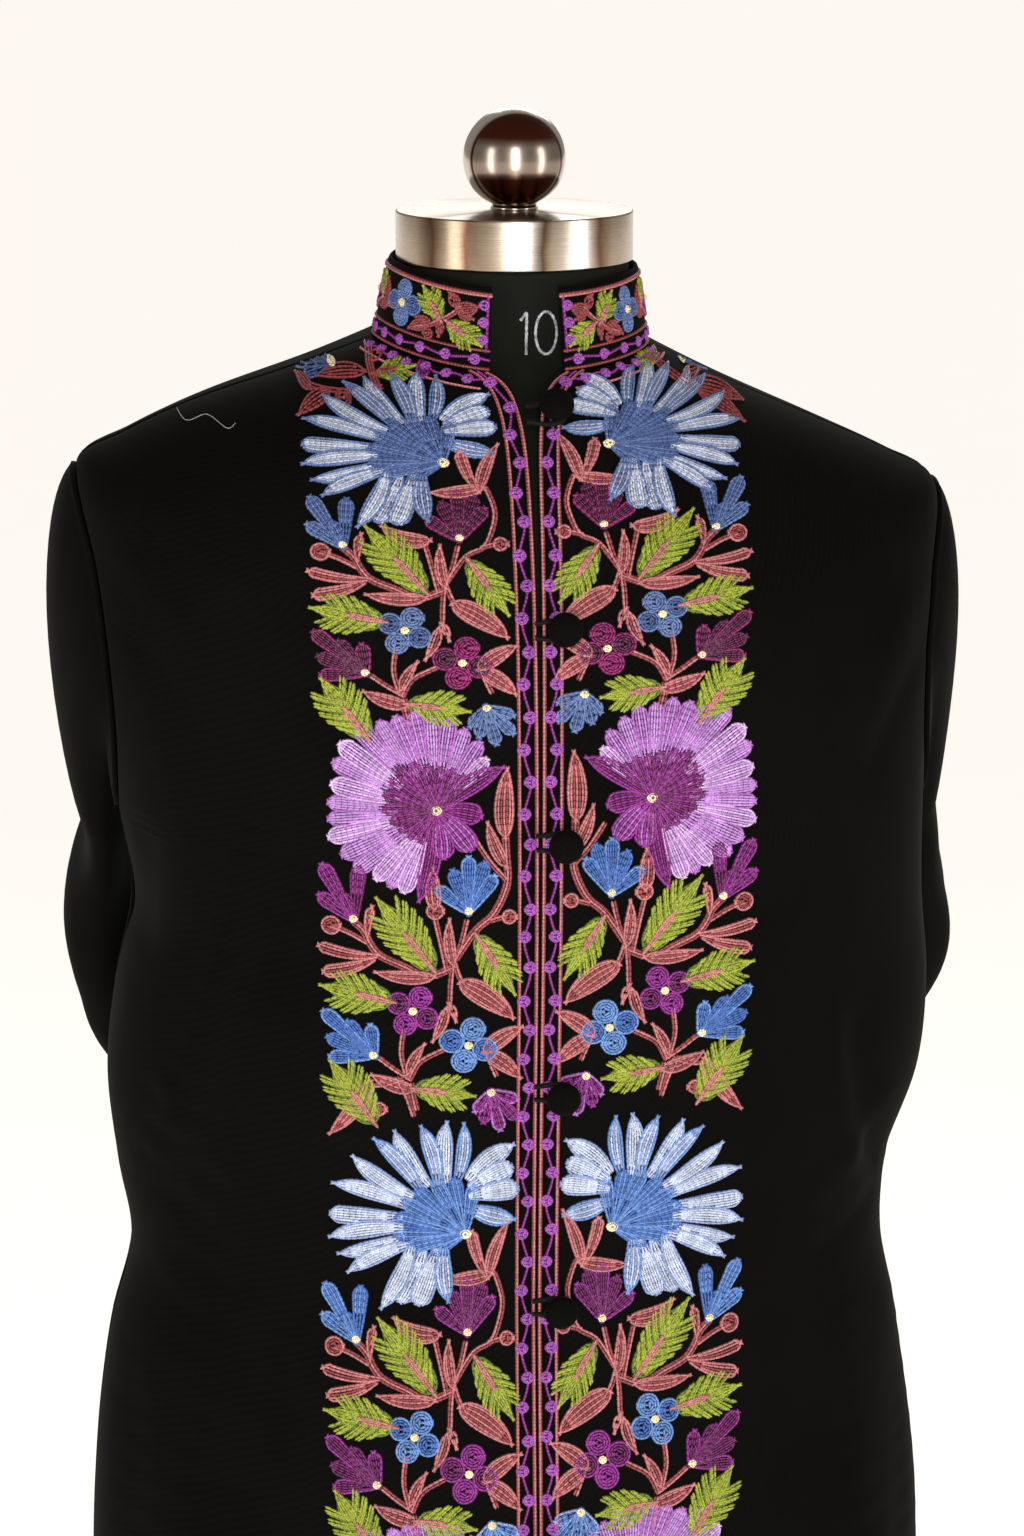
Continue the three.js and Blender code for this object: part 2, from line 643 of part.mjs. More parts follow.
// A turned piece from its profile of [radius, z] pairs, which starts and ends on the axis.
function turned(profile, segments) {
  const points = profile.map(([radius, z]) => new THREE.Vector2(radius, z));
  return new THREE.LatheGeometry(points, segments).rotateX(Math.PI / 2);
}

function neckCap() {
  const bottom = NECK_TOP + SEAM;
  const profile = [
    [0, bottom],
    [CAP_RADIUS, bottom],
    [CAP_RADIUS, CAP_TOP - CAP_EDGE],
    [CAP_RADIUS - CAP_EDGE, CAP_TOP],
    [0, CAP_TOP],
  ];
  return turned(profile, CAP_SIDES);
}

function finial() {
  const bottom = CAP_TOP + SEAM;
  const profile = [[0, bottom], [STEM_RADIUS, bottom]];
  const start = Math.asin(STEM_RADIUS / BALL_RADIUS);
  for (let i = 0; i < BALL_RINGS; i++) {
    const angle = start + ((Math.PI - start) * i) / BALL_RINGS;
    profile.push([BALL_RADIUS * Math.sin(angle), BALL_CENTRE - BALL_RADIUS * Math.cos(angle)]);
  }
  profile.push([0, BALL_CENTRE + BALL_RADIUS]);
  return turned(profile, ROUND_SIDES);
}

function pole() {
  const top = FORM_BOTTOM - SEAM;
  const bottom = HUB_TOP + SEAM;
  const profile = [
    [0, bottom],
    [POLE_RADIUS, bottom],
    [POLE_RADIUS, top - COLLET_HEIGHT],
    [COLLET_RADIUS, top - COLLET_HEIGHT / 2],
    [COLLET_RADIUS, top],
    [0, top],
  ];
  return turned(profile, ROUND_SIDES);
}

function base() {
  const profile = [
    [0, 0],
    [BASE_RADIUS - EDGE, 0],
    [BASE_RADIUS, EDGE],
    [BASE_RADIUS, BASE_EDGE - EDGE],
    [BASE_RADIUS - 2 * EDGE, BASE_EDGE],
    [HUB_RADIUS + HUB_FLARE, BASE_EDGE + BASE_RISE],
    [HUB_RADIUS, BASE_EDGE + 2 * BASE_RISE],
    [HUB_RADIUS, HUB_TOP - EDGE],
    [HUB_RADIUS - EDGE, HUB_TOP],
    [0, HUB_TOP],
  ];
  return turned(profile, BASE_SIDES);
}

const jacket = new THREE.Group();

function add(name, geometry, material) {
  const mesh = new THREE.Mesh(geometry, material);
  mesh.name = name;
  jacket.add(mesh);
  return mesh;
}

add("front_right", frontPanel(false), CLOTH);
add("front_left", frontPanel(true), CLOTH);
add("back", backPanel(), CLOTH);
add("sleeve_right", sleeve(false), CLOTH);
add("sleeve_left", sleeve(true), CLOTH);
add("collar", collar(), CLOTH);
BUTTON_HEIGHTS.forEach((z, i) => {
  placeButton(add(`button_${i + 1}`, button(), CLOTH), z);
  add(`button_loop_${i + 1}`, buttonLoop(z), CORD);
});
add("dress_form", formBody(), JERSEY);
add("neck_cap", neckCap(), STEEL);
add("finial", finial(), POLISHED);
add("pole", pole(), STEEL);
add("base", base(), PAINTED);

export default jacket;
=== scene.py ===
"""The finished look of an embroidered stand-collar jacket on its dress form."""
import math

import bmesh
import bpy
import numpy as np
from bpy.props import FloatProperty, FloatVectorProperty, IntProperty, PointerProperty
from bpy.types import Operator, Panel, PropertyGroup
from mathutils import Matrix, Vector
from mathutils.bvhtree import BVHTree


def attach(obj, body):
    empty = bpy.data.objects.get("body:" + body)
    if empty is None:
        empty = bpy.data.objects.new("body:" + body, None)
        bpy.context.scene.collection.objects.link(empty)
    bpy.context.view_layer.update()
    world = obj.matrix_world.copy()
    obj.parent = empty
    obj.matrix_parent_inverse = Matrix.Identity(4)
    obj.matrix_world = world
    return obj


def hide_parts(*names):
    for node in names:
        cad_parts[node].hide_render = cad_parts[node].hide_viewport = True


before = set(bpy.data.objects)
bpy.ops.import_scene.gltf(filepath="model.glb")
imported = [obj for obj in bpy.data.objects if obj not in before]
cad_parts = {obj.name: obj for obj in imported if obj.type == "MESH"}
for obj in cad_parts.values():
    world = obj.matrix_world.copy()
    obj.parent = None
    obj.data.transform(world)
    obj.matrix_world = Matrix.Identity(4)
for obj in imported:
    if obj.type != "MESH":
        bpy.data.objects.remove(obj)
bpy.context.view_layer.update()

bl_info = {
    "name": "Embroidered jacket",
    "version": (1, 0, 0),
    "blender": (4, 5, 0),
    "location": "3D View > Sidebar > Jacket",
    "description": "Builds the cloth, chain stitch, buttons, dress form and stand of a jacket",
    "category": "Object",
}

MM = 0.001

# ------------------------------------------------------------ the garment's sizes, in millimetres

WALL = 2.0
EDGE_EASE = 0.45  # how far a wall's edges are eased in
SEAM = 0.3
REST = 0.6
EASE = 8.0
SLEEVE_CLEAR = 2.2
ARMHOLE_FRONT = 0.2
ARMHOLE_BACK = 0.26
SHOULDER_TIP = 4
UNDERARM = 8
ARMHOLE_MIDDLE = (SHOULDER_TIP + UNDERARM) / 2
ARMHOLE_HALF = (UNDERARM - SHOULDER_TIP) / 2

# The body's rings from the neckline to the hem: reach from the axis, heights, and roundness.
RIGHT, LEFT, FRONT, BACK, Z_RIGHT, Z_LEFT, Z_FRONT, Z_BACK, ROUND = range(9)
BODY = np.array([
    (69, 65, 73, 63, 1348, 1344, 1338, 1362, 2.0),
    (108, 106, 98, 84, 1334, 1324, 1308, 1344, 2.0),
    (154, 152, 116, 103, 1319, 1304, 1278, 1320, 2.05),
    (190, 187, 127, 114, 1303, 1288, 1252, 1294, 2.1),
    (214, 207, 134, 121, 1288, 1275, 1226, 1264, 2.17),
    (213, 208, 138, 125, 1249, 1240, 1198, 1230, 2.32),
    (209, 206, 140, 126, 1204, 1200, 1171, 1192, 2.45),
    (203, 204, 141, 124, 1160, 1158, 1144, 1153, 2.5),
    (197, 203, 141, 122, 1116, 1116, 1116, 1116, 2.5),
    (192, 204, 139, 118, 1071, 1071, 1071, 1071, 2.45),
    (201, 208, 135, 113, 1026, 1026, 1026, 1026, 2.4),
    (206, 205, 130, 107, 981, 981, 981, 981, 2.35),
    (202, 191, 126, 102, 936, 936, 936, 936, 2.3),
    (196, 188, 124, 101, 891, 891, 891, 891, 2.3),
    (207, 197, 127, 106, 846, 846, 846, 846, 2.3),
    (214, 204, 132, 115, 801, 801, 801, 801, 2.3),
    (218, 209, 137, 123, 756, 756, 756, 756, 2.3),
    (220, 211, 141, 129, 711, 711, 711, 711, 2.3),
    (222, 213, 144, 133, 667, 667, 667, 667, 2.3),
    (225, 216, 147, 137, 626, 626, 626, 626, 2.3),
    (228, 219, 149, 140, 586, 586, 586, 586, 2.3),
])
HEM = len(BODY) - 1

# The fronts' edges: half the gap at the hem, then what is added on the chest and under the collar.
GAP_BELOW = 1.0
GAP_CHEST = 2.4
GAP_CHEST_ROWS = 3.2
GAP_NECK = 15.2
GAP_NECK_ROWS = 0.32

# Folds: a soft ridge or trough through three points (x, z), its width and its height. The first
# ones are in the solid cloth too.
FRONT_FOLDS = (
    (-132, 1150, -140, 1060, -190, 930, 11, 4.5),
    (-118, 1140, -122, 1050, -168, 920, 13, -3.5),
    (-184, 1130, -184, 1090, -190, 1050, 8, -3),
    (156, 1040, 160, 985, 182, 925, 9, -4),
    (142, 1050, 146, 985, 168, 915, 10, 3.5),
    (-190, 1262, -168, 1230, -140, 1196, 12, 2.5),
    (190, 1240, 168, 1205, 150, 1160, 12, 2.5),
    (-150, 900, -172, 820, -176, 600, 15, 3.5),
    (146, 900, 166, 820, 172, 600, 15, 3.5),
    (-184, 1010, -160, 962, -122, 930, 7, 1.6),
    (-190, 950, -164, 918, -120, 902, 6, -1.4),
    (-186, 896, -160, 884, -128, 886, 6, 1.3),
    (182, 990, 164, 950, 130, 925, 7, 1.5),
    (184, 930, 160, 906, 126, 896, 6, -1.3),
    (-196, 1225, -172, 1202, -150, 1168, 6, -1.2),
    (196, 1205, 174, 1182, 156, 1136, 6, -1.2),
    (-120, 880, -128, 800, -130, 600, 12, 1.4),
    (118, 880, 126, 800, 130, 600, 12, 1.4),
    (-196, 860, -200, 760, -204, 600, 10, -1.8),
    (190, 860, 194, 760, 200, 600, 10, -1.8),
)
BACK_FOLDS = (
    (-40, 1180, -64, 1050, -58, 900, 14, 3.5),
    (44, 1180, 62, 1050, 52, 900, 14, 3.5),
    (-110, 900, -128, 780, -136, 590, 18, 5),
    (0, 880, 4, 760, 0, 590, 18, 5),
    (108, 900, 126, 780, 134, 590, 18, 5),
    (-170, 1240, -120, 1205, -50, 1190, 10, 1.6),
    (168, 1230, 120, 1198, 52, 1186, 10, 1.6),
    (-186, 930, -120, 896, -30, 902, 8, -1.5),
    (180, 922, 118, 890, 30, 898, 8, -1.5),
    (-60, 860, -66, 760, -68, 600, 13, -2),
    (58, 860, 64, 760, 66, 600, 13, -2),
)
FOLD_FADE = 0.3
FOLD_END = 0.15

# The sleeves' sections from the armhole to the cuff.
OUT_RIGHT, OUT_LEFT, SECTION_Y, SECTION_Z, LONG, FLAT, FACING = range(7)
SLEEVE = np.array([
    (220, 205, 24, 1202, 74, 22, 0),
    (205, 199, 48, 1158, 71, 17, 4),
    (198, 206, 80, 1112, 68, 13, 10),
    (197, 204, 112, 1064, 64, 22, 22),
    (178, 196, 136, 1012, 61, 25, 45),
    (158, 165, 146, 974, 60, 25, 66),
    (118, 121, 143, 947, 55, 24, 80),
    (77, 78, 133, 922, 50, 22, 88),
    (36, 36, 128, 895, 47, 21, 90),
], dtype=float)
SLEEVE_HEAD = 1.5
SLEEVE_PUFF = 9.0
SLEEVE_ROUND = 2.5
SLEEVE_CROWDING = 1.15

# Wrinkles across a sleeve: share of its length, share of the way round, reach of each, and height.
SLEEVE_FOLDS = (
    (0.16, 0.05, 0.05, 0.16, 1.6),
    (0.30, 0.95, 0.04, 0.14, -1.5),
    (0.40, 0.03, 0.035, 0.12, 1.8),
    (0.47, 0.96, 0.03, 0.14, -1.8),
    (0.54, 0.05, 0.03, 0.13, 2.0),
    (0.60, 0.35, 0.035, 0.15, -1.5),
    (0.67, 0.10, 0.04, 0.18, 1.6),
    (0.78, 0.30, 0.05, 0.16, -1.4),
    (0.86, 0.06, 0.05, 0.20, 1.3),
)

COLLAR_HEIGHT = 42.0
COLLAR_TOP = np.array((61, 60, 62, 64, 1386, 1382, 1377, 1393, 2.0))

BUTTON_HEIGHTS = (1321, 1228, 1129, 1004, 892, 768)
BUTTON_X = 11.0
BUTTON_RADIUS = 8.2
DOME_HEIGHT = 5.6
SHANK_RADIUS = 3.0
SHANK_HEIGHT = 3.4
CORD_RADIUS = 1.25
SEAT = 0.5
LOOP_START = -2.2
LOOP_HALF = 3.4
LOOP_TURN = SHANK_RADIUS + SEAM + CORD_RADIUS

NECK_RADIUS = 55.5
NECK_TOP = 1384.0
CAP_RADIUS = 57.5
CAP_TOP = 1408.5
BALL_RADIUS = 24.8
BALL_CENTRE = 1432.8
STEM_RADIUS = 10.0
FORM_END = 18.2
FORM_BOTTOM = 648.0
POLE_RADIUS = 13.0
COLLET_RADIUS = 30.0
COLLET_HEIGHT = 16.0
BASE_RADIUS = 190.0
BASE_EDGE = 10.0
HUB_RADIUS = 27.0
HUB_TOP = 46.0

# The stitches: length, width and height in metres, then sizes in millimetres.
STITCH_LENGTH = 0.0027
STITCH_WIDTH = 0.0013
STITCH_HEIGHT = 0.0008
STITCH_SEED = 11
ROW_PITCH = 1.3
LINE_STEP = 1.6
STITCH_LIE = 0.25  # from the cloth to a stitch's middle
LOWEST_STITCH = 596.0
BEAD_PITCH = 15.5
ABOVE_HEM = 0.3  # rows of the body between the hem and the ends of the edge rows
HEM_STITCHING = 18.0
RAY_START = 400
RAY_REACH = 500

# ---------------------------------------------------------------------------- colours


def linear(code):
    """A colour written as RRGGBB, as linear red, green and blue."""
    parts = (int(code[i:i + 2], 16) / 255 for i in (0, 2, 4))
    return tuple(c / 12.92 if c <= 0.04045 else ((c + 0.055) / 1.055) ** 2.4 for c in parts)


THREADS = {
    # Silver rows in the pale petals: partly a lighter thread, partly a painted highlight for the
    # silk's sparkle.
    "silver": ("Silver thread", "B6BDCC"),
    "sky_light": ("Pale blue thread", "AEB7CE"),
    "sky_soft": ("Soft blue thread", "8090B8"),
    "sky_mid": ("Blue thread", "5C7FB4"),
    "sky_deep": ("Deep blue thread", "3A5C9C"),
    # The slate threads, and the wine ones below, dress the flowers near the collar: partly their
    # own colour, partly painted shade for the dimmer light up there.
    "slate_light": ("Grey-blue thread", "9A9DB1"),
    "slate_mid": ("Slate thread", "566B97"),
    "slate_deep": ("Deep slate thread", "3C5080"),
    "lilac_pale": ("Pale lilac thread", "BFA2C9"),
    "orchid": ("Orchid thread", "AE80BD"),
    "lilac": ("Lilac thread", "9A5CA6"),
    "violet": ("Violet thread", "7D1F79"),
    "plum": ("Plum thread", "5A0A4C"),
    "wine_light": ("Light wine thread", "7A1056"),
    "wine": ("Wine thread", "4A0834"),
    "bead": ("Bead thread", "91469C"),
    "leaf_light": ("Yellow-green thread", "8A9224"),
    "leaf_deep": ("Leaf green thread", "566814"),
    # Rose rows beside rust ones: partly a lighter thread, partly a painted highlight on the rust
    # chain stitch.
    "rose": ("Rose thread", "AC6768"),
    "rust": ("Rust thread", "803436"),
    "cream": ("Cream thread", "E4D2A8"),
}


def thread_colour(title, code):
    return FloatVectorProperty(
        name=title, description="Linear colour of this thread", subtype="COLOR", size=3,
        min=0.0, max=1.0, default=linear(code))


class ThreadColours(PropertyGroup):
    """The colours of the embroidery threads."""

    __annotations__ = {key: thread_colour(*words) for key, words in THREADS.items()}


class StitchSizes(PropertyGroup):
    """The sizes of the chain stitch."""

    length: FloatProperty(
        name="Stitch length", description="Length of one chain stitch", default=STITCH_LENGTH,
        min=0.001, max=0.006, unit="LENGTH")
    width: FloatProperty(
        name="Row spacing", description="Distance between two rows of stitches",
        default=STITCH_WIDTH,
        min=0.0006, max=0.003, unit="LENGTH")
    height: FloatProperty(
        name="Stitch height", description="How far a stitch stands up from the cloth",
        default=STITCH_HEIGHT,
        min=0.0002, max=0.002, unit="LENGTH")
    seed: IntProperty(name="Seed", description="Seed of the stitches' small differences",
                      default=STITCH_SEED, min=0)


class GarmentFinish(PropertyGroup):
    """The colours and the weave of the jacket, its cords and the form."""

    cloth: FloatVectorProperty(
        name="Cloth", description="Linear colour of the twill", subtype="COLOR", size=3,
        min=0.0, max=1.0, default=(0.0026, 0.00235, 0.0019))
    cord: FloatVectorProperty(
        name="Cord", description="Linear colour of the button loops", subtype="COLOR", size=3,
        min=0.0, max=1.0, default=(0.0016, 0.0015, 0.0014))
    jersey: FloatVectorProperty(
        name="Jersey", description="Linear colour of the form's cover", subtype="COLOR", size=3,
        min=0.0, max=1.0, default=(0.0072, 0.0072, 0.0055))
    twill: FloatProperty(
        name="Twill pitch", description="Distance between two twill lines", default=0.0016,
        min=0.0003, max=0.004, unit="LENGTH")


class StageSettings(PropertyGroup):
    """The light of the softboxes."""

    key: FloatProperty(
        name="Front softbox", description="Power of the softbox in front", default=60.0, min=0.0,
        unit="POWER")
    side: FloatProperty(
        name="Side softboxes", description="Power of each side softbox", default=22.0, min=0.0,
        unit="POWER")


# --------------------------------------------------------------------- the garment's surface

CLOTH_AXES = np.linspace(0, math.pi / 2, 97)


def running(steps):
    """The length so far at each point of a line, from the lengths of its steps."""
    return np.concatenate([[0.0], np.cumsum(steps)])


def smooth(t):
    t = np.clip(t, 0.0, 1.0)
    return t * t * (3 - 2 * t)


def read(table, row):
    """A table's row at a fractional place, on a curve through its rows."""
    last = len(table) - 1
    row = np.asarray(row, dtype=float)
    i = np.clip(np.floor(row), 0, last - 1).astype(int)
    t = (row - i)[..., None]
    a, b, c, d = (table[np.clip(i + k, 0, last)] for k in (-1, 0, 1, 2))
    bend = (2 * a - 5 * b + 4 * c - d) + t * (3 * b - a - 3 * c + d)
    return b + 0.5 * t * ((c - a) + t * bend)


def quarter_point(ring, left, front, angle):
    """Points of a ring's quarter at angles from its middle line; left and front may be arrays."""
    side = np.where(left, ring[..., LEFT], ring[..., RIGHT])
    middle = np.where(front, ring[..., FRONT], ring[..., BACK])
    z_side = np.where(left, ring[..., Z_LEFT], ring[..., Z_RIGHT])
    z_middle = np.where(front, ring[..., Z_FRONT], ring[..., Z_BACK])
    power = ring[..., ROUND]
    across, out = np.abs(np.sin(angle)), np.abs(np.cos(angle))
    radius = ((across / side) ** power + (out / middle) ** power) ** (-1 / power)
    depth = radius * out / middle
    x = np.where(left, 1, -1) * radius * across
    y = np.where(front, -1, 1) * radius * out
    return np.stack([x, y, z_side + (z_middle - z_side) * depth * depth], -1)


def quarter_arc(ring, left, front):
    """The lengths along a ring's quarter at the angles of CLOTH_AXES."""
    points = quarter_point(ring, left, front, CLOTH_AXES)
    steps = np.linalg.norm(np.diff(points, axis=0), axis=1)
    return running(steps)


def ring_points(ring, us):
    """Points of a ring at us: 0 centre front, 1 left side, 2 centre back, 3 right side."""
    us = np.mod(np.asarray(us, dtype=float), 4.0)
    quarter = np.floor(us).astype(int) % 4
    share = np.where(quarter % 2 == 0, us - quarter, 1 - (us - quarter))
    points = np.empty((len(us), 3))
    for q in range(4):
        here = quarter == q
        if here.any():
            left, front = q < 2, q in (0, 3)
            arc = quarter_arc(ring, left, front)
            angle = np.interp(share[here] * arc[-1], arc, CLOTH_AXES)
            points[here] = quarter_point(ring, left, front, angle)
    return points


def quarter_length(v, left, front):
    return quarter_arc(read(BODY, v), left, front)[-1]


def skin(us, v):
    """The jacket's outer surface before its folds."""
    return ring_points(read(BODY, v), us)


def skin_normals(us, v):
    us = np.asarray(us, dtype=float)
    across = skin(us + 0.01, v) - skin(us - 0.01, v)
    down = skin(us, min(v + 0.05, HEM)) - skin(us, max(v - 0.05, 0))
    normal = np.cross(down, across)
    return normal / np.linalg.norm(normal, axis=1, keepdims=True)


def relief(folds, x, z):
    """How far folds lift the cloth at x and z."""
    lift = np.zeros_like(x)
    t = np.linspace(0, 1, 17)
    a, b, c = (1 - t) ** 2, 2 * t * (1 - t), t ** 2
    for x1, z1, x2, z2, x3, z3, width, height in folds:
        px, pz = a * x1 + b * x2 + c * x3, a * z1 + b * z2 + c * z3
        away = np.hypot(x[:, None] - px, z[:, None] - pz)
        near = away.argmin(axis=1)
        along = t[near]
        fade = smooth(np.minimum(along, 1 - along) / FOLD_FADE + FOLD_END)
        lift += height * fade * np.exp(-((away.min(axis=1) / width) ** 2))
    return lift


def fold_lift(front, points):
    """How far the folds lift points of the fronts or of the back."""
    x, z = points[:, 0], points[:, 2]
    return np.where(front, relief(FRONT_FOLDS, x, z), relief(BACK_FOLDS, x, z))


def cloth_row(us, v):
    """The cloth's outer points and normals at us along one row."""
    base = skin(us, v)
    normal = skin_normals(us, v)
    turn = np.mod(us, 4.0)
    front = (turn < 1) | (turn >= 3)
    return base + normal * fold_lift(front, base)[:, None], normal


def front_gap(v):
    chest = GAP_CHEST * math.exp(-v / GAP_CHEST_ROWS)
    return GAP_BELOW + chest + GAP_NECK * math.exp(-v / GAP_NECK_ROWS)


def side_setback(v, left, front):
    """How far a panel's side edge stands back from the side line, as a share of its quarter."""
    seam = SEAM / 2 / quarter_length(v, left, front)
    down = min(max((v - ARMHOLE_MIDDLE) / ARMHOLE_HALF, -1), 1)
    reach = ARMHOLE_FRONT if front else ARMHOLE_BACK
    return max(seam, reach * math.sqrt(1 - down * down))


def front_place(distance, v, left):
    """u of the point that lies a distance in from a front's edge."""
    share = (front_gap(v) + distance) / quarter_length(v, left, True)
    return share if left else 4 - share


def on_front(x, z):
    """The outer point and normal of a front near the centre line, at x and z."""
    left = x > 0
    above, below = 0.0, float(HEM)
    for _ in range(30):
        v = (above + below) / 2
        if read(BODY, v)[Z_FRONT] > z:
            above = v
        else:
            below = v
    share = abs(x) / quarter_length(above, left, True)
    points, normals = cloth_row(np.array([share if left else 4 - share]), above)
    return points[0], normals[0]


def body_rows(count):
    """Rows from the neckline to the hem, closer where the armhole begins and ends."""
    return np.unique(np.concatenate([
        np.linspace(0, SHOULDER_TIP, count // 4),
        ARMHOLE_MIDDLE - ARMHOLE_HALF * np.cos(np.linspace(0, math.pi, count // 3)),
        np.linspace(UNDERARM, HEM, count // 2),
    ]))


# ------------------------------------------------------------------------------- meshes


def new_object(name, mesh):
    obj = bpy.data.objects.new(name, mesh)
    bpy.context.scene.collection.objects.link(obj)
    return obj


def finish_mesh(name, points, faces, uvs=None, material=None):
    """A smooth-shaded object from points in millimetres and faces, maybe with a UV per point."""
    mesh = bpy.data.meshes.new(name)
    mesh.from_pydata([tuple(p) for p in np.asarray(points) * MM], [], faces)
    if uvs is not None:
        layer = mesh.uv_layers.new(name="cloth")
        index = np.empty(len(mesh.loops), dtype=np.int32)
        mesh.loops.foreach_get("vertex_index", index)
        layer.data.foreach_set("uv", (np.asarray(uvs)[index] * MM).ravel().astype(np.float32))
    mesh.update()
    mesh.shade_smooth()
    if material:
        mesh.materials.append(material)
    return new_object(name, mesh)


def grid_uvs(outer):
    """Lengths along the rows and down the columns of a grid of points."""
    across = np.linalg.norm(np.diff(outer, axis=1), axis=2)
    down = np.linalg.norm(np.diff(outer, axis=0), axis=2)
    u = np.concatenate([np.zeros((outer.shape[0], 1)), np.cumsum(across, axis=1)], axis=1)
    u -= u.mean(axis=1, keepdims=True)
    v = np.concatenate([np.zeros((1, outer.shape[1])), np.cumsum(down, axis=0)], axis=0)
    return np.stack([u, v], -1)


def cloth_wall(name, outer, normals, material, tube=False):
    """A closed thin wall of cloth under a grid of outer points, with its edges eased."""
    rows, columns = outer.shape[:2]
    ease = np.zeros((rows, columns))
    ease[0] = ease[-1] = 1
    if not tube:
        ease[:, 0] = ease[:, -1] = 1
    top = outer - normals * (ease * EDGE_EASE)[..., None]
    under = outer - normals * (WALL - ease * EDGE_EASE)[..., None]
    points = np.concatenate([top.reshape(-1, 3), under.reshape(-1, 3)])
    uv = grid_uvs(outer).reshape(-1, 2)
    spans = columns if tube else columns - 1
    size = rows * columns

    def at(side, r, c):
        return side * size + r * columns + c % columns

    faces = []
    for r in range(rows - 1):
        for c in range(spans):
            faces.append((at(0, r, c), at(0, r + 1, c), at(0, r + 1, c + 1), at(0, r, c + 1)))
            faces.append((at(1, r, c), at(1, r, c + 1), at(1, r + 1, c + 1), at(1, r + 1, c)))
    for c in range(spans):
        faces.append((at(0, 0, c), at(0, 0, c + 1), at(1, 0, c + 1), at(1, 0, c)))
        faces.append((at(0, rows - 1, c + 1), at(0, rows - 1, c), at(1, rows - 1, c),
                      at(1, rows - 1, c + 1)))
    if not tube:
        end = columns - 1
        for r in range(rows - 1):
            faces.append((at(0, r + 1, 0), at(0, r, 0), at(1, r, 0), at(1, r + 1, 0)))
            faces.append((at(0, r, end), at(0, r + 1, end), at(1, r + 1, end), at(1, r, end)))
    obj = finish_mesh(name, points, faces, np.concatenate([uv, uv]), material)
    face_outwards(obj)
    return obj


def face_outwards(obj):
    """Turns a closed mesh whose volume comes out negative."""
    work = bmesh.new()
    work.from_mesh(obj.data)
    if work.calc_volume(signed=True) < 0:
        bmesh.ops.reverse_faces(work, faces=work.faces)
    work.to_mesh(obj.data)
    work.free()
    obj.data.shade_smooth()


def flat_area(outer):
    """The area of a grid of points, in square metres."""
    a, b, c, d = outer[:-1, :-1], outer[1:, :-1], outer[1:, 1:], outer[:-1, 1:]
    first = np.linalg.norm(np.cross(b - a, c - a), axis=2)
    second = np.linalg.norm(np.cross(c - a, d - a), axis=2)
    return float((first + second).sum() / 2) * MM * MM


def cut_size(outer):
    """The width and length of the straight cloth that a grid of points is cut from, in metres."""
    across = np.linalg.norm(np.diff(outer, axis=1), axis=2).sum(axis=1).max()
    down = np.linalg.norm(np.diff(outer, axis=0), axis=2).sum(axis=0).max()
    return float(across) * MM, float(down) * MM


def declare_cloth(obj, node, outer):
    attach(obj, "root")
    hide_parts(node)
    width, length = cut_size(outer)
    area = flat_area(outer)


def turned_mesh(name, profile, segments, material, place=None):
    """A solid of revolution about Z from (radius, z) pairs that start and end on the axis."""
    points, faces = [], []
    rings = []
    for radius, z in profile:
        if radius < 1e-6:
            rings.append([len(points)])
            points.append((0.0, 0.0, z))
        else:
            rings.append(list(range(len(points), len(points) + segments)))
            angle = 2 * math.pi * np.arange(segments) / segments
            points.extend(zip(radius * np.cos(angle), radius * np.sin(angle),
                              np.full(segments, z)))
    for low, high in zip(rings, rings[1:]):
        for k in range(segments):
            a, b = low[k % len(low)], low[(k + 1) % len(low)]
            c, d = high[(k + 1) % len(high)], high[k % len(high)]
            faces.append(tuple(dict.fromkeys((a, b, c, d))))
    points = np.array(points)
    if place is not None:
        origin, axis = place
        turn = np.array(Vector((0, 0, 1)).rotation_difference(Vector(axis)).to_matrix())
        points = points @ turn.T + origin
    obj = finish_mesh(name, points, [f for f in faces if len(f) > 2], None, material)
    face_outwards(obj)
    return obj


def rounded(profile, radius, steps=5):
    """A profile with its inner corners rounded."""
    out = [profile[0]]
    for before, corner, after in zip(profile, profile[1:], profile[2:]):
        p, a, b = (np.array(q, dtype=float) for q in (corner, before, after))
        to_a, to_b = a - p, b - p
        reach = min(radius, 0.45 * np.linalg.norm(to_a), 0.45 * np.linalg.norm(to_b))
        start = p + to_a / np.linalg.norm(to_a) * reach
        end = p + to_b / np.linalg.norm(to_b) * reach
        for k in range(steps + 1):
            t = k / steps
            out.append(tuple((1 - t) ** 2 * start + 2 * t * (1 - t) * p + t * t * end))
    return out + [profile[-1]]


# ----------------------------------------------------------------------------- materials


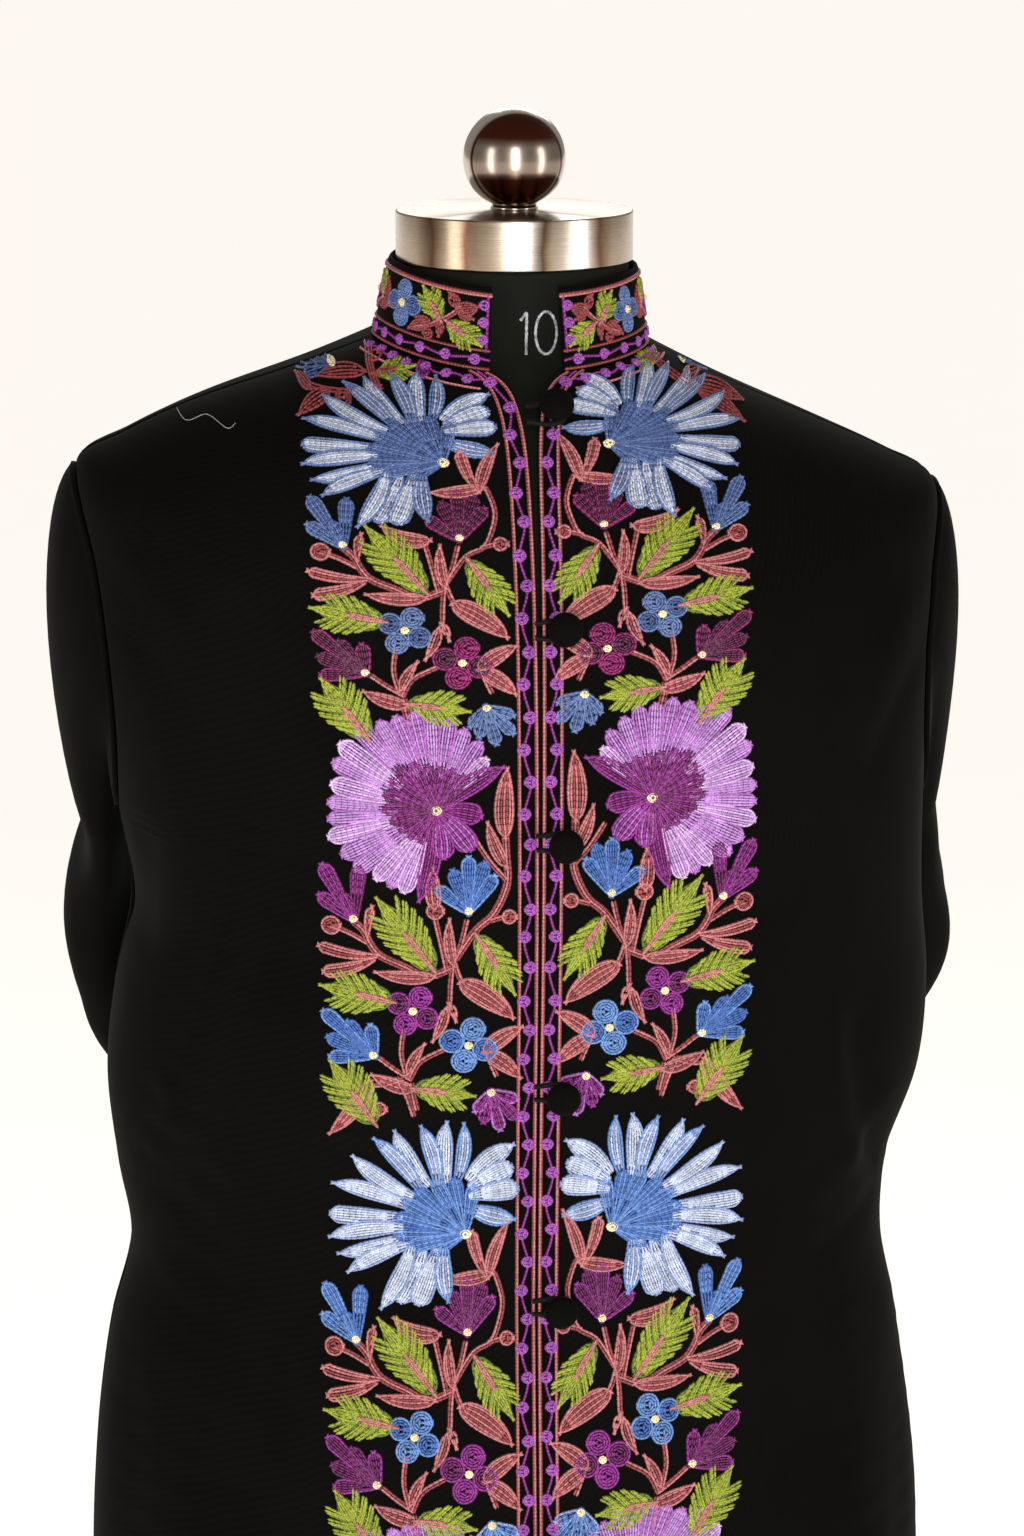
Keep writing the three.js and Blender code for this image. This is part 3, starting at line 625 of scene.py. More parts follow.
class Finish:
    """A material with its principled shader, and short words for adding nodes to it."""

    def __init__(self, name, colour, roughness, metallic=0.0):
        self.material = bpy.data.materials.new(name)
        self.material.use_nodes = True
        self.tree = self.material.node_tree
        self.tree.nodes.clear()
        self.shader = self.node("ShaderNodeBsdfPrincipled")
        output = self.node("ShaderNodeOutputMaterial")
        self.link(self.shader.outputs["BSDF"], output.inputs["Surface"])
        self.shader.inputs["Base Color"].default_value = (*colour, 1)
        self.shader.inputs["Roughness"].default_value = roughness
        self.shader.inputs["Metallic"].default_value = metallic

    def node(self, kind, **settings):
        node = self.tree.nodes.new(kind)
        for key, value in settings.items():
            if key in node.inputs:
                node.inputs[key].default_value = value
            else:
                setattr(node, key, value)
        return node

    def link(self, output, socket):
        self.tree.links.new(output, socket)

    def place(self, source="Object", scale=(1, 1, 1)):
        """Coordinates of the piece, or of its cloth UV, stretched by a scale."""
        if source == "cloth":
            start = self.node("ShaderNodeUVMap", uv_map="cloth").outputs["UV"]
        else:
            start = self.node("ShaderNodeTexCoord").outputs[source]
        mapping = self.node("ShaderNodeMapping")
        mapping.inputs["Scale"].default_value = scale
        self.link(start, mapping.inputs["Vector"])
        return mapping.outputs["Vector"]

    def noise(self, vector, scale, detail=2.0, roughness=0.5):
        node = self.node("ShaderNodeTexNoise")
        node.inputs["Scale"].default_value = scale
        node.inputs["Detail"].default_value = detail
        node.inputs["Roughness"].default_value = roughness
        self.link(vector, node.inputs["Vector"])
        return node.outputs["Fac"]

    def waves(self, vector, pitch, direction="DIAGONAL", distortion=0.0):
        node = self.node("ShaderNodeTexWave", wave_type="BANDS", bands_direction=direction)
        node.inputs["Scale"].default_value = 2 * math.pi / (20 * pitch)
        node.inputs["Distortion"].default_value = distortion
        self.link(vector, node.inputs["Vector"])
        return node.outputs["Fac"]

    def spread(self, value, low, high):
        node = self.node("ShaderNodeMapRange")
        node.inputs["To Min"].default_value = low
        node.inputs["To Max"].default_value = high
        self.link(value, node.inputs["Value"])
        return node.outputs["Result"]

    def sum(self, first, second, operation="ADD"):
        node = self.node("ShaderNodeMath", operation=operation)
        self.link(first, node.inputs[0])
        if isinstance(second, float):
            node.inputs[1].default_value = second
        else:
            self.link(second, node.inputs[1])
        return node.outputs["Value"]

    def colour_by(self, value, stops):
        ramp = self.node("ShaderNodeValToRGB")
        elements = ramp.color_ramp.elements
        while len(elements) < len(stops):
            elements.new(0.5)
        for element, (place, colour) in zip(elements, stops):
            element.position = place
            element.color = (*colour, 1)
        self.link(value, ramp.inputs["Fac"])
        self.link(ramp.outputs["Color"], self.shader.inputs["Base Color"])

    def bump(self, height, strength, distance):
        node = self.node("ShaderNodeBump")
        node.inputs["Strength"].default_value = strength
        node.inputs["Distance"].default_value = distance
        self.link(height, node.inputs["Height"])
        self.link(node.outputs["Normal"], self.shader.inputs["Normal"])

    def rough_by(self, value, low, high):
        self.link(self.spread(value, low, high), self.shader.inputs["Roughness"])

    def set(self, **inputs):
        named = {socket.name.lower().replace(" ", "_"): socket for socket in self.shader.inputs}
        for key, value in inputs.items():
            named[key].default_value = value


def shade(colour, factor):
    return tuple(min(c * factor, 1.0) for c in colour)


def twill_finish(name, colour, pitch, source="cloth"):
    """Fine wool twill: faint diagonal lines, a soft nap, and a faint bloom."""
    finish = Finish(name, colour, 0.86)
    thin = finish.place("Object")
    lines = finish.waves(finish.place(source), pitch * 1.41, "DIAGONAL", 0.25)
    nap = finish.noise(thin, 1100, 3, 0.65)
    bloom = finish.noise(thin, 14, 3, 0.6)
    mixed = finish.sum(finish.sum(lines, 0.1, "MULTIPLY"), finish.sum(nap, 0.5, "MULTIPLY"))
    toned = finish.sum(mixed, finish.sum(bloom, 0.4, "MULTIPLY"))
    finish.colour_by(toned, [(0.3, shade(colour, 0.55)), (0.85, shade(colour, 1.7))])
    finish.bump(finish.sum(finish.sum(lines, 0.5, "MULTIPLY"), finish.sum(nap, 1.5, "MULTIPLY")),
                0.2, 0.00012)
    finish.rough_by(nap, 0.78, 0.95)
    finish.set(sheen_weight=0.01, sheen_roughness=0.4, specular_ior_level=0.03)
    return finish.material


def jersey_finish(colour):
    """Fine knitted jersey: close ribs down the form."""
    finish = Finish("black jersey", colour, 0.9)
    place = finish.place("Object")
    wales = finish.waves(place, 0.0013, "X", 0.6)
    courses = finish.waves(place, 0.0011, "Z", 0.6)
    nap = finish.noise(place, 900, 3, 0.6)
    knit = finish.sum(wales, courses, "MULTIPLY")
    mixed = finish.sum(finish.sum(knit, 0.5, "MULTIPLY"), finish.sum(nap, 0.5, "MULTIPLY"))
    finish.colour_by(mixed, [(0.15, shade(colour, 0.7)), (0.85, shade(colour, 1.6))])
    finish.bump(mixed, 0.3, 0.0002)
    finish.rough_by(nap, 0.8, 0.96)
    finish.set(sheen_weight=0.02, sheen_roughness=0.45, specular_ior_level=0.06)
    return finish.material


def cord_finish(colour, name="black cord"):
    """Twisted cord with a little shine along its strands."""
    finish = Finish(name, colour, 0.6)
    place = finish.place("Object")
    fibres = finish.noise(place, 1800, 3, 0.6)
    finish.colour_by(fibres, [(0.25, shade(colour, 0.7)), (0.8, shade(colour, 2.0))])
    finish.bump(fibres, 0.3, 0.0001)
    finish.rough_by(fibres, 0.5, 0.75)
    finish.set(sheen_weight=0.03, specular_ior_level=0.12)
    return finish.material


def thread_finish():
    """Wool embroidery thread in the colour that each stitch carries."""
    finish = Finish("embroidery thread", (0.5, 0.5, 0.5), 0.5)
    stitch = finish.node("ShaderNodeAttribute", attribute_name="thread").outputs["Color"]
    place = finish.place("Object")
    fibres = finish.noise(place, 900, 4, 0.7)
    dye = finish.noise(place, 160, 2, 0.5)
    # Tone: partly random tone of the wool, partly painted glints and dark gaps for the thread's
    # sparkle.
    tone = finish.sum(finish.spread(fibres, 0.1, 1.9), finish.spread(dye, 0.55, 1.5), "MULTIPLY")
    product = finish.node("ShaderNodeVectorMath", operation="SCALE")
    finish.link(stitch, product.inputs[0])
    finish.link(tone, product.inputs["Scale"])
    finish.link(product.outputs["Vector"], finish.shader.inputs["Base Color"])
    finish.bump(fibres, 0.5, 0.00015)
    finish.rough_by(fibres, 0.3, 0.5)
    finish.set(sheen_weight=0.03, sheen_roughness=0.35, specular_ior_level=0.38)
    return finish.material


def steel_finish(name, stops, roughness, brushed):
    """Steel coloured with painted reflections of a studio room: stripes round the brushed one,
    level stripes and a pale edge ring on the polished one.
    """
    finish = Finish(name, stops[0][1], roughness, 1.0)
    split = finish.node("ShaderNodeSeparateXYZ")
    finish.link(finish.place("Object"), split.inputs["Vector"])
    if brushed:
        scratches = finish.noise(finish.place("Object", (14, 14, 2600)), 1.0, 3, 0.6)
        # Painted reflection: the cap's colour changes in stripes with the angle round it.
        turn = finish.sum(split.outputs["X"], finish.sum(split.outputs["Y"], -1.0, "MULTIPLY"),
                          "ARCTAN2")
        painted_reflection_bands = finish.sum(finish.sum(turn, 1 / math.pi, "MULTIPLY"), 0.5)
        reflection_waver = finish.noise(finish.place("Object", (60, 60, 30)), 1.0, 2, 0.5)
        painted_reflection_bands = finish.sum(painted_reflection_bands, finish.spread(reflection_waver, -0.03, 0.03))
        finish.bump(scratches, 0.22, 0.0001)
        finish.rough_by(scratches, roughness * 0.75, roughness * 1.35)
    else:
        smears_and_reflection_waver = finish.noise(finish.place("Object"), 22, 3, 0.6)
        # Painted reflection: the ball's colour goes by height, with a pale ring at its edge for
        # the white room behind it.
        height = finish.sum(finish.sum(split.outputs["Z"], -BALL_CENTRE * MM),
                            1 / (BALL_RADIUS * MM), "MULTIPLY")
        across = finish.sum(split.outputs["X"], 1 / (BALL_RADIUS * MM), "MULTIPLY")
        reach = finish.sum(finish.sum(height, 2.0, "POWER"), finish.sum(across, 2.0, "POWER"))
        painted_rim_reflection = finish.sum(finish.sum(reach, -0.58), 3.4, "MULTIPLY")
        level = finish.sum(finish.sum(height, 0.35, "MULTIPLY"), 0.36)
        painted_reflection_bands = finish.sum(finish.sum(level, finish.spread(smears_and_reflection_waver, -0.02, 0.02)), painted_rim_reflection, "MAXIMUM")
        finish.rough_by(smears_and_reflection_waver, roughness * 0.6, roughness * 1.6)
    finish.colour_by(painted_reflection_bands, stops)
    return finish.material


def painted_finish(colour):
    """Satin powder coat with a fine orange-peel, dusty in places."""
    finish = Finish("black powder coat", colour, 0.45)
    place = finish.place("Object")
    peel = finish.noise(place, 700, 2, 0.5)
    dust = finish.noise(place, 9, 5, 0.7)
    finish.colour_by(dust, [(0.35, shade(colour, 0.85)), (0.8, shade(colour, 1.6))])
    finish.bump(peel, 0.18, 0.0003)
    finish.rough_by(dust, 0.38, 0.6)
    return finish.material


def chalk_finish():
    """Chalky white paint, thin where the brush ran dry."""
    finish = Finish("chalky paint", (0.75, 0.76, 0.78), 0.95)
    place = finish.place("Object")
    thin = finish.noise(place, 420, 4, 0.7)
    finish.colour_by(thin, [(0.35, (0.10, 0.105, 0.11)), (0.62, (0.48, 0.49, 0.51))])
    finish.bump(thin, 0.3, 0.0002)
    return finish.material


def floor_finish():
    """A matt pale floor that glows a little, as a lit studio sweep does."""
    finish = Finish("pale floor", (0.5, 0.49, 0.465), 0.9)
    grain = finish.noise(finish.place("Object"), 3, 3, 0.6)
    finish.colour_by(grain, [(0.3, (0.49, 0.475, 0.445)), (0.7, (0.51, 0.5, 0.475))])
    finish.shader.inputs["Emission Color"].default_value = (1.0, 0.965, 0.91, 1)
    finish.shader.inputs["Emission Strength"].default_value = 0.82
    return finish.material


# --------------------------------------------------------------- rows of stitches, in flat cloth

# A motif is a list of lines: points (across, up) in millimetres, a thread, and how high it lies.


def line(points, thread, lift=0.0):
    return [(np.asarray(points, dtype=float), thread, lift)]


def curve_through(points, count=24):
    """A smooth curve through points."""
    points = np.asarray(points, dtype=float)
    if len(points) == 2:
        return points[0] + (points[1] - points[0]) * np.linspace(0, 1, count)[:, None]
    return read(points, np.linspace(0, len(points) - 1, count))


def side_of(path):
    """The unit direction to the left of a path at each of its points."""
    run = np.gradient(path, axis=0)
    run /= np.maximum(np.linalg.norm(run, axis=1, keepdims=True), 1e-9)
    return np.stack([-run[:, 1], run[:, 0]], -1)


ROUND_TIP, POINTED, BUD, FAN = range(4)


def half_widths(style, width, length, t):
    """A petal's half width along it, for its style."""
    half = width / 2
    cap = min(half / max(length, 1e-6), 0.5)
    if style == ROUND_TIP:
        grow = 0.42 + 0.58 * np.sin(np.pi / 2 * np.minimum(t / 0.72, 1))
        tip = np.sqrt(np.maximum(1 - (np.maximum(t - (1 - cap), 0) / cap) ** 3, 0))
        return half * grow * tip
    if style == POINTED:
        taper = np.clip((t - 0.5) / 0.5, 0, 1)
        swell = 0.55 + 0.45 * np.sin(np.pi / 2 * np.minimum(t / 0.55, 1))
        return half * swell * (1 - taper ** 2.2) ** 0.7
    if style == BUD:
        return half * np.sin(np.pi * np.clip(t, 0, 1) ** 0.75) ** 0.55
    grow = 0.3 + 0.7 * t ** 0.7
    tip = np.sqrt(np.maximum(1 - (np.maximum(t - (1 - cap), 0) / cap) ** 2, 0))
    return half * grow * tip


def petal(base, tip, width, inner, outline, style=ROUND_TIP, bend=0.0, lift=0.0, pitch=ROW_PITCH):
    """Rows of stitches that run the length of a petal, with its outline in another thread."""
    base, tip = np.asarray(base, dtype=float), np.asarray(tip, dtype=float)
    length = float(np.linalg.norm(tip - base))
    across = np.array([-(tip - base)[1], (tip - base)[0]]) / max(length, 1e-6)
    t = np.linspace(0, 1, max(8, int(length / 1.6)))
    middle = base + (tip - base) * t[:, None] + across * (4 * bend * length * t * (1 - t))[:, None]
    side = side_of(middle)
    half = np.maximum(half_widths(style, width, length, t) - pitch / 2, 0)
    rows = max(int(round((width - pitch) / pitch)), 1)
    lines = []
    for k in range(rows + 1):
        offset = 2 * k / rows - 1
        edge = k in (0, rows)
        spacing = 2 * half / rows
        step = 1
        while not edge and k % (2 * step) == 0 and step < rows:
            step *= 2
        keep = np.ones(len(t), dtype=bool) if edge else spacing * step > 0.62 * pitch
        run = middle + side * (offset * half)[:, None]
        thread = outline if edge else (inner[k % len(inner)] if isinstance(inner,
                                                                           tuple) else inner)
        for part in np.split(np.arange(len(t)), np.flatnonzero(np.diff(keep.astype(int))) + 1):
            if keep[part[0]] and len(part) > 2:
                row = run[part].copy()
                if k % 2:
                    row[0] = (row[0] + row[1]) / 2
                lines += line(row, thread, lift + (0.12 if edge else 0.0))
    return lines


def ring_line(centre, radius, squash=1.0, count=18):
    angle = np.linspace(0, 2 * np.pi, count + 1)
    return np.asarray(centre) + np.stack([radius * np.cos(angle), radius * squash * np.sin(angle)],
                                         -1)


def bud(base, tip, width, style=BUD, bend=0.05):
    """A rust petal in rose outline, the rose rows partly a painted highlight."""
    return petal(base, tip, width, ("rust", "rose"), "rose", style, bend, 0.1)


def lobe(centre, radius, inner, outline, lift=0.0, pitch=ROW_PITCH):
    """A round lobe of stitches laid in rings."""
    lines = []
    reach = radius - pitch / 2
    first = True
    while reach > 0.35:
        lines += line(ring_line(centre, reach, count=max(8, int(reach * 3))),
                      outline if first else inner, lift)
        reach -= pitch
        first = False
    return lines


def knot(centre, radius=2.3):
    """A raised centre of close stitches."""
    return lobe(centre, radius, "cream", "cream", 0.7, 1.1) + lobe(centre, radius * 0.6, "cream",
                                                                   "cream", 1.2, 1.0)


def stem(points, width=2.6, thread="rust", lift=0.0, pitch=ROW_PITCH):
    """Rows of stitches along a stem, every other row rose, partly as a painted highlight."""
    path = curve_through(points)
    side = side_of(path)
    rows = max(int(round(width / pitch)), 1)
    lines = []
    for k in range(rows):
        offset = (k - (rows - 1) / 2) * pitch
        lines += line(path + side * offset, thread if k % 2 == 0 else "rose", lift)
    return lines


def leaf(base, tip, width, light="leaf_light", deep="leaf_deep", lift=0.0):
    """A toothed leaf: strokes out from a midrib, each fourth one shorter and darker."""
    base, tip = np.asarray(base, dtype=float), np.asarray(tip, dtype=float)
    run = tip - base
    length = float(np.linalg.norm(run))
    run /= length
    across = np.array([-run[1], run[0]])
    lines = petal(base, base + run * length * 0.92, width * 0.74, (deep, light), deep, BUD, 0.0,
                  lift)
    count = max(int(length * 0.54), 8)
    for sign in (1, -1):
        for k in range(count):
            share = (k + 0.5) / count
            reach = width / 2 * math.sin(math.pi * (0.14 + 0.68 * share)) ** 0.6 * (0.92, 1.0,
                0.96, 0.84)[k % 4]
            start = base + run * length * (0.02 + 0.64 * share)
            end = base + run * length * (0.22 + 0.68 * share) + across * sign * reach
            middle = (start + end) / 2 + across * sign * width * 0.03
            lines += line([start, middle, end], (light, light, light, deep)[k % 4], lift + 0.35)
    lines += petal(base + run * length * 0.5, tip, width * 0.3, light, light, BUD, 0.0, lift + 0.4)
    lines += petal(base - run * 1.0, base + run * length * 0.5, 3.4, "rose", "rose", ROUND_TIP,
                   0.0, lift + 0.8)
    return lines


def tulip(dot, tips, width, light, mid, deep, lift=0.0):
    """A small flower of finger petals that fan from a cream centre."""
    dot = np.asarray(dot, dtype=float)
    lines = []
    for k, tip in enumerate(tips):
        inner = (mid, deep) if k % 2 else (deep, mid)
        lines += petal(dot, tip, width, inner, light if k % 2 == 0 else mid, FAN, 0.0,
                       lift + 0.15 * (k % 2))
    middle = np.mean(np.asarray(tips, dtype=float), axis=0)
    lines += petal(dot, dot + (middle - dot) * 0.62, width * 1.1, (deep, mid), mid, FAN, 0.0,
                   lift + 0.3)
    return lines + knot(dot + (middle - dot) * 0.06, 2.1)


def four_petals(centre, reach, turn, light, mid, deep):
    """A small flower of four round lobes."""
    lines = []
    for k in range(4):
        angle = math.radians(turn + 90 * k)
        out = np.array([math.cos(angle), math.sin(angle)])
        middle = np.asarray(centre) + out * reach * 0.58
        lines += lobe(middle, reach * 0.44, (deep if k % 2 else mid), light if k % 2 else mid,
                      0.1 * k)
    return lines + knot(centre, 2.2)


# The large flowers, from their cream centre: base and tip of each petal, width, shade and style.
# Shades: 0 palest, 1 pale with a mid core, 2 mid, 3 deep.
ASTER_PETALS = (
    (-4, 28, -0.8, 57, 7.0, 2, POINTED), (-9, 28, -9, 58, 8.5, 1, POINTED),
    (-13, 27, -21, 56, 8.0, 2, POINTED),
    (-18, 26, -33.5, 53, 8.5, 1, POINTED), (-22, 24, -43, 49, 8.0, 2, POINTED),
    (-26, 20, -53, 39.5, 8.5, 0, POINTED),
    (-29, 15, -62.5, 25, 8.5, 1, POINTED), (-31, 9, -64, 9, 9.0, 0, ROUND_TIP),
    (-31, 3, -64, -3, 9.0, 0, POINTED),
    (-30, -2, -60, -12, 8.0, 0, POINTED), (-28, -6, -55.5, -21, 8.0, 1, POINTED),
    (-26, -8, -40, -39, 8.5, 0, POINTED),
    (-20, -9, -31.5, -36, 10.0, 0, ROUND_TIP), (-14, -9, -23, -37, 10.5, 0, ROUND_TIP),
    (-10, -9, -8.2, -35, 8.5, 2, POINTED), (2, 29, 22.5, 46, 10.0, 0, POINTED),
    (3, 25, 22, 35, 10.5, 1, ROUND_TIP),
    (3, 20, 25, 23.5, 10.5, 0, ROUND_TIP), (3, 13, 23.5, 7, 9.5, 2, POINTED),
)
ASTER_HEART = (
    (4, 25, 8.0, 3), (-5.5, 29, 8.5, 2), (-14.5, 28, 8.5, 3), (-23, 23, 9.0, 2),
    (-29, 16.5, 9.0, 3),
    (-33, 9, 9.0, 2), (-33.5, -0.5, 9.5, 2), (-27, -7, 9.0, 3), (-16, -10.5, 8.0, 2),
)
DAHLIA_PETALS = (
    (23.5, 24, 7.5, 0), (20.5, 32, 8.0, 2), (13.7, 38, 8.0, 1), (6.6, 43, 8.0, 2),
    (-2, 44, 8.0, 1),
    (-10.2, 46, 8.5, 2), (-18.4, 44, 8.5, 2), (-26, 41.5, 8.5, 1), (-36.5, 40, 9.0, 1),
    (-44, 31, 9.5, 0),
    (-47, 22.5, 9.0, 1), (-48, 12, 9.5, 0), (-49.5, 3, 8.5, 1), (-49.5, -5, 8.0, 1),
    (-49.5, -14, 9.0, 0),
    (-43.5, -22.5, 9.5, 1), (-37.5, -29.5, 9.0, 1), (-28, -33.5, 8.5, 0), (-21.5, -37, 8.5, 1),
    (-15.4, -39.5, 9.0, 0),
)
DAHLIA_LOW = (
    (30.8, 20, 9.5, 3, POINTED), (-8, -43.5, 10.0, 3, POINTED), (21, -3, 10.5, 3, ROUND_TIP),
    (16.4, -19, 11.5, 2, ROUND_TIP), (3.3, -23, 10.5, 2, ROUND_TIP),
)
DAHLIA_HEART = (
    (2, 20, 7.5, 3), (-4, 21, 7.5, 3), (-11, 21.5, 8.0, 2), (-17, 20, 8.0, 3), (-20.5, 14, 8.0, 2),
    (-23.5, 7.5, 8.0, 3), (-24, 0.5, 8.0, 3), (-20.5, -5.5, 8.0, 3), (-16.5, -9.5, 7.0, 3),
    (-12, -13, 7.5, 2), (-7, -15, 7.0, 3), (8, 19, 8.0, 2), (13, 16, 7.5, 3),
)


def aster():
    """The large blue flower, which opens to one side."""
    # Silver rows in the palest petals are partly a painted highlight.
    looks = {0: (("silver", "sky_light", "silver"), "sky_soft"),
             1: (("sky_light", "silver"), "sky_soft"),
             2: (("sky_soft", "sky_light"), "sky_mid"), 3: (("sky_deep", "sky_mid"), "sky_deep")}
    lines = []
    for k, (bx, bz, tx, tz, width, tone, style) in enumerate(ASTER_PETALS):
        inner, outline = looks[tone]
        bend = 0.05 * (1 if k % 2 else -1) if style == POINTED else 0.02
        lines += petal((bx, bz), (tx, tz), 1.08 * width, inner, outline, style, bend,
                       0.3 * (k % 3))
    for k, (tx, tz, width, tone) in enumerate(ASTER_HEART):
        inner, outline = (("sky_deep", "sky_mid"), "sky_mid") if tone == 3 else (("sky_mid",
            "sky_deep"), "sky_deep")
        lines += petal((0, 0), (tx, tz), width, inner, outline, FAN, 0.0, 0.45 + 0.1 * (k % 2))
    return lines + knot((0, 0), 3.0)


def dahlia():
    """The large purple flower with long dark petals."""
    lines = []
    for k, (tx, tz, width, tone) in enumerate(DAHLIA_PETALS):
        inner, outline = {0: (("lilac_pale", "orchid"), "lilac_pale"), 1: ("orchid", "lilac"),
                          2: (("orchid", "lilac"), "lilac")}[tone]
        lines += petal((0.38 * tx, 0.38 * tz), (tx, tz), width, inner, outline, ROUND_TIP, 0.0,
                       0.15 * (k % 2))
    for k, (tx, tz, width, tone, style) in enumerate(DAHLIA_LOW):
        inner, outline = (("plum", "violet"), "violet") if tone == 3 else (("violet", "lilac"),
                                                                           "violet")
        lines += petal((0.1 * tx, 0.1 * tz), (tx, tz), width, inner, outline, style, 0.04, 0.35)
    for k, (tx, tz, width, tone) in enumerate(DAHLIA_HEART):
        inner, outline = (("plum", "violet"), "plum") if tone == 3 else (("violet", "plum"),
                                                                         "violet")
        lines += petal((0, 0), (tx, tz), width, inner, outline, FAN, 0.0, 0.5 + 0.1 * (k % 2))
    return lines + knot((0, 0), 2.8)


def garland(second):
    """The sprays between two large flowers, from the joint of their stems. "one" and "two" are its
    two flower colours, which change places from one garland to the next; the buds above
    differ too."""
    lines = []
    # stems
    lines += stem([(6.8, 19.5), (4.2, 9), (0.5, 0)], 2.8)
    lines += stem([(19.5, 20.5), (25, 22)], 2.6)
    lines += stem([(-2.5, -2), (-5, 10), (-7.8, 22)], 3.2)
    if second:
        lines += stem([(2.5, 3), (11, 15.5), (20, 24), (26, 38), (25.5, 52), (25, 64)], 3.4)
        lines += stem([(12, 57), (18, 48), (25, 40)], 2.6)
        lines += bud((25, 60), (26, 91), 9.5, BUD, 0.03)
        lines += bud((25.5, 46), (17, 66), 6.5)
        lines += bud((-7.7, 26), (-8.6, 45), 8.0, BUD, 0.03)
        lines += lobe((-7.7, 25), 4.4, "rust", "rose", 0.15)
    else:
        lines += stem([(2.5, 3), (11, 15.5), (19.5, 20.5), (23.5, 30), (25, 40), (21.5, 52),
                       (18.5, 54)], 3.0)
        lines += bud((18, 51), (27.3, 77), 6.6)
        lines += bud((17, 52), (10, 73), 6.0, ROUND_TIP)
        lines += bud((20, 53), (-4, 50), 7.4)
        lines += bud((-5.5, 24), (-27, 31), 8.8, BUD, 0.14)
    lines += stem([(-1, -3), (-11.5, -6.5), (-22, -2), (-33, 3), (-38, 9), (-40.5, 14.5),
                   (-45, 19)], 3.6)
    lines += stem([(-40.5, 10), (-48, 14), (-55, 16.5)], 2.8)
    lines += stem([(0.5, 0), (-0.5, -10), (-0.8, -18), (-1.5, -23)], 2.8)
    lines += stem([(1, 1), (3.2, -6), (6, -11.5)], 2.8)
    lines += stem([(-17, -72), (-18.5, -65), (-19, -61)], 4.0)
    lines += stem([(-20, -57), (-27, -52.5), (-33, -48)], 2.8)
    lines += stem([(-21, -56), (-23.5, -45), (-22.5, -34)], 2.8)
    lines += stem([(-19, -57), (-14.5, -49), (-5, -43.5)], 3.2)
    lines += stem([(21, -55), (18.5, -49)], 2.6)
    # buds and teeth
    for base, tip, width, style in (
            ((-8, -6.5), (-35, -5), 7.2, BUD),
            ((-35, 3), (-61.5, 6.8), 5.8, ROUND_TIP), ((-37, 1), (-59.5, -5.8), 7.0, ROUND_TIP),
            ((-39, 13), (-37, 26.5), 4.6, ROUND_TIP), ((1, -1), (-1, 20.5), 6.0, BUD),
            ((4, -9.5), (28.8, -27), 11.5, BUD), ((-2.5, -22), (-8.5, -38), 5.6, BUD),
            ((-1, -20), (2, -28), 4.0, BUD),
            ((15.5, -44), (33, -32), 8.6, BUD), ((16.5, -44.5), (32.5, -57), 8.6, BUD),
            ((-17.5, -63), (-37, -56), 7.6, BUD), ((-20.5, -55), (-13, -40.5), 5.4, BUD)):
        lines += bud(base, tip, width, style)
    for centre, radius in (((27, 22), 3.8), ((-56, 17), 4.8)):
        lines += lobe(centre, radius, "rust", "rose", 0.15)
    # leaves
    lines += leaf((-8.5, -3), (-34.5, 30.5), 20)
    lines += leaf((12, 13), (29.5, -15), 16)
    lines += leaf((-28, -19), (-60.5, -12.5), 19)
    lines += leaf((-36, -80), (-56.5, -50), 21)
    lines += leaf((-17, -62), (10.5, -66), 17)
    # small flowers
    lines += tulip((8, 24), ((-6.8, 36), (0.5, 44.5), (8, 50.5), (15.7, 48), (20.3, 41.5)), 8.2,
                   "two_mid", "two_deep", "two_deep")
    lines += tulip((-45, 19.5), ((-60, 46), (-43, 45.5), (-61.5, 31.5)), 8.6,
                   "one_mid", "one_deep", "one_mid")
    lines += tulip((-35.7, -46.5), ((-60, -25), (-49, -29.5), (-38, -31), (-58, -37.5),
                                    (-57, -47.5)), 8.4,
                   "two_mid", "two_deep", "two_deep")
    lines += tulip((18.7, -63.5), ((31.5, -68.5), (31.3, -78), (23.5, -83.5), (15.5, -79.5),
                                   (11.5, -74)), 7.4,
                   "one_light", "one_mid", "one_deep")
    lines += four_petals((-18.2, -23.5), 13.0, 62, "one_mid", "one_mid", "one_deep")
    lines += four_petals((8, -40.5), 14.0, 75, "two_mid", "two_mid", "two_deep")
    return lines


def spray():
    """A curl and a bud beside the foot of a garland."""
    lines = stem([(-18, -75), (-21, -66), (-25, -58)], 2.8)
    lines += stem([(-24, -58), (-34, -61), (-43, -60)], 2.8)
    lines += bud((-38, -59), (-57, -86), 8.5)
    return lines + lobe((-34, -73), 3.8, "rust", "rose", 0.15)


FIRST_BLUE = {"one_light": "sky_soft", "one_mid": "sky_mid", "one_deep": "sky_deep",
              "two_light": "lilac", "two_mid": "violet", "two_deep": "plum"}
# Near the collar the flowers take greyer, darker threads: partly their own colour, partly painted
# shade for the dimmer light there.
SHADED_TOP_BLUE = {"one_light": "slate_mid", "one_mid": "slate_mid", "one_deep": "slate_deep",
            "two_light": "lilac", "two_mid": "wine_light", "two_deep": "wine"}
SHADED_TOP_ASTER = {"sky_light": "slate_light", "sky_soft": "slate_mid", "sky_mid": "slate_mid",
             "sky_deep": "slate_deep"}
FIRST_PURPLE = {"one_light": "lilac", "one_mid": "violet", "one_deep": "plum",
                "two_light": "sky_soft", "two_mid": "sky_mid", "two_deep": "sky_deep"}


def placed(lines, x, down, mirror=False, stretch=1.0, threads=None, turn=0.0):
    """Lines turned by an angle in degrees, moved to x and to a distance down the centre front."""
    threads = threads or {}
    sign = -1 if mirror else 1
    c, n = math.cos(math.radians(turn)), math.sin(math.radians(turn))
    return [(np.stack([x + sign * (c * p[:, 0] - n * p[:, 1]),
                       down - stretch * (n * p[:, 0] + c * p[:, 1])], -1),
             threads.get(t, t), lift) for p, t, lift in lines]


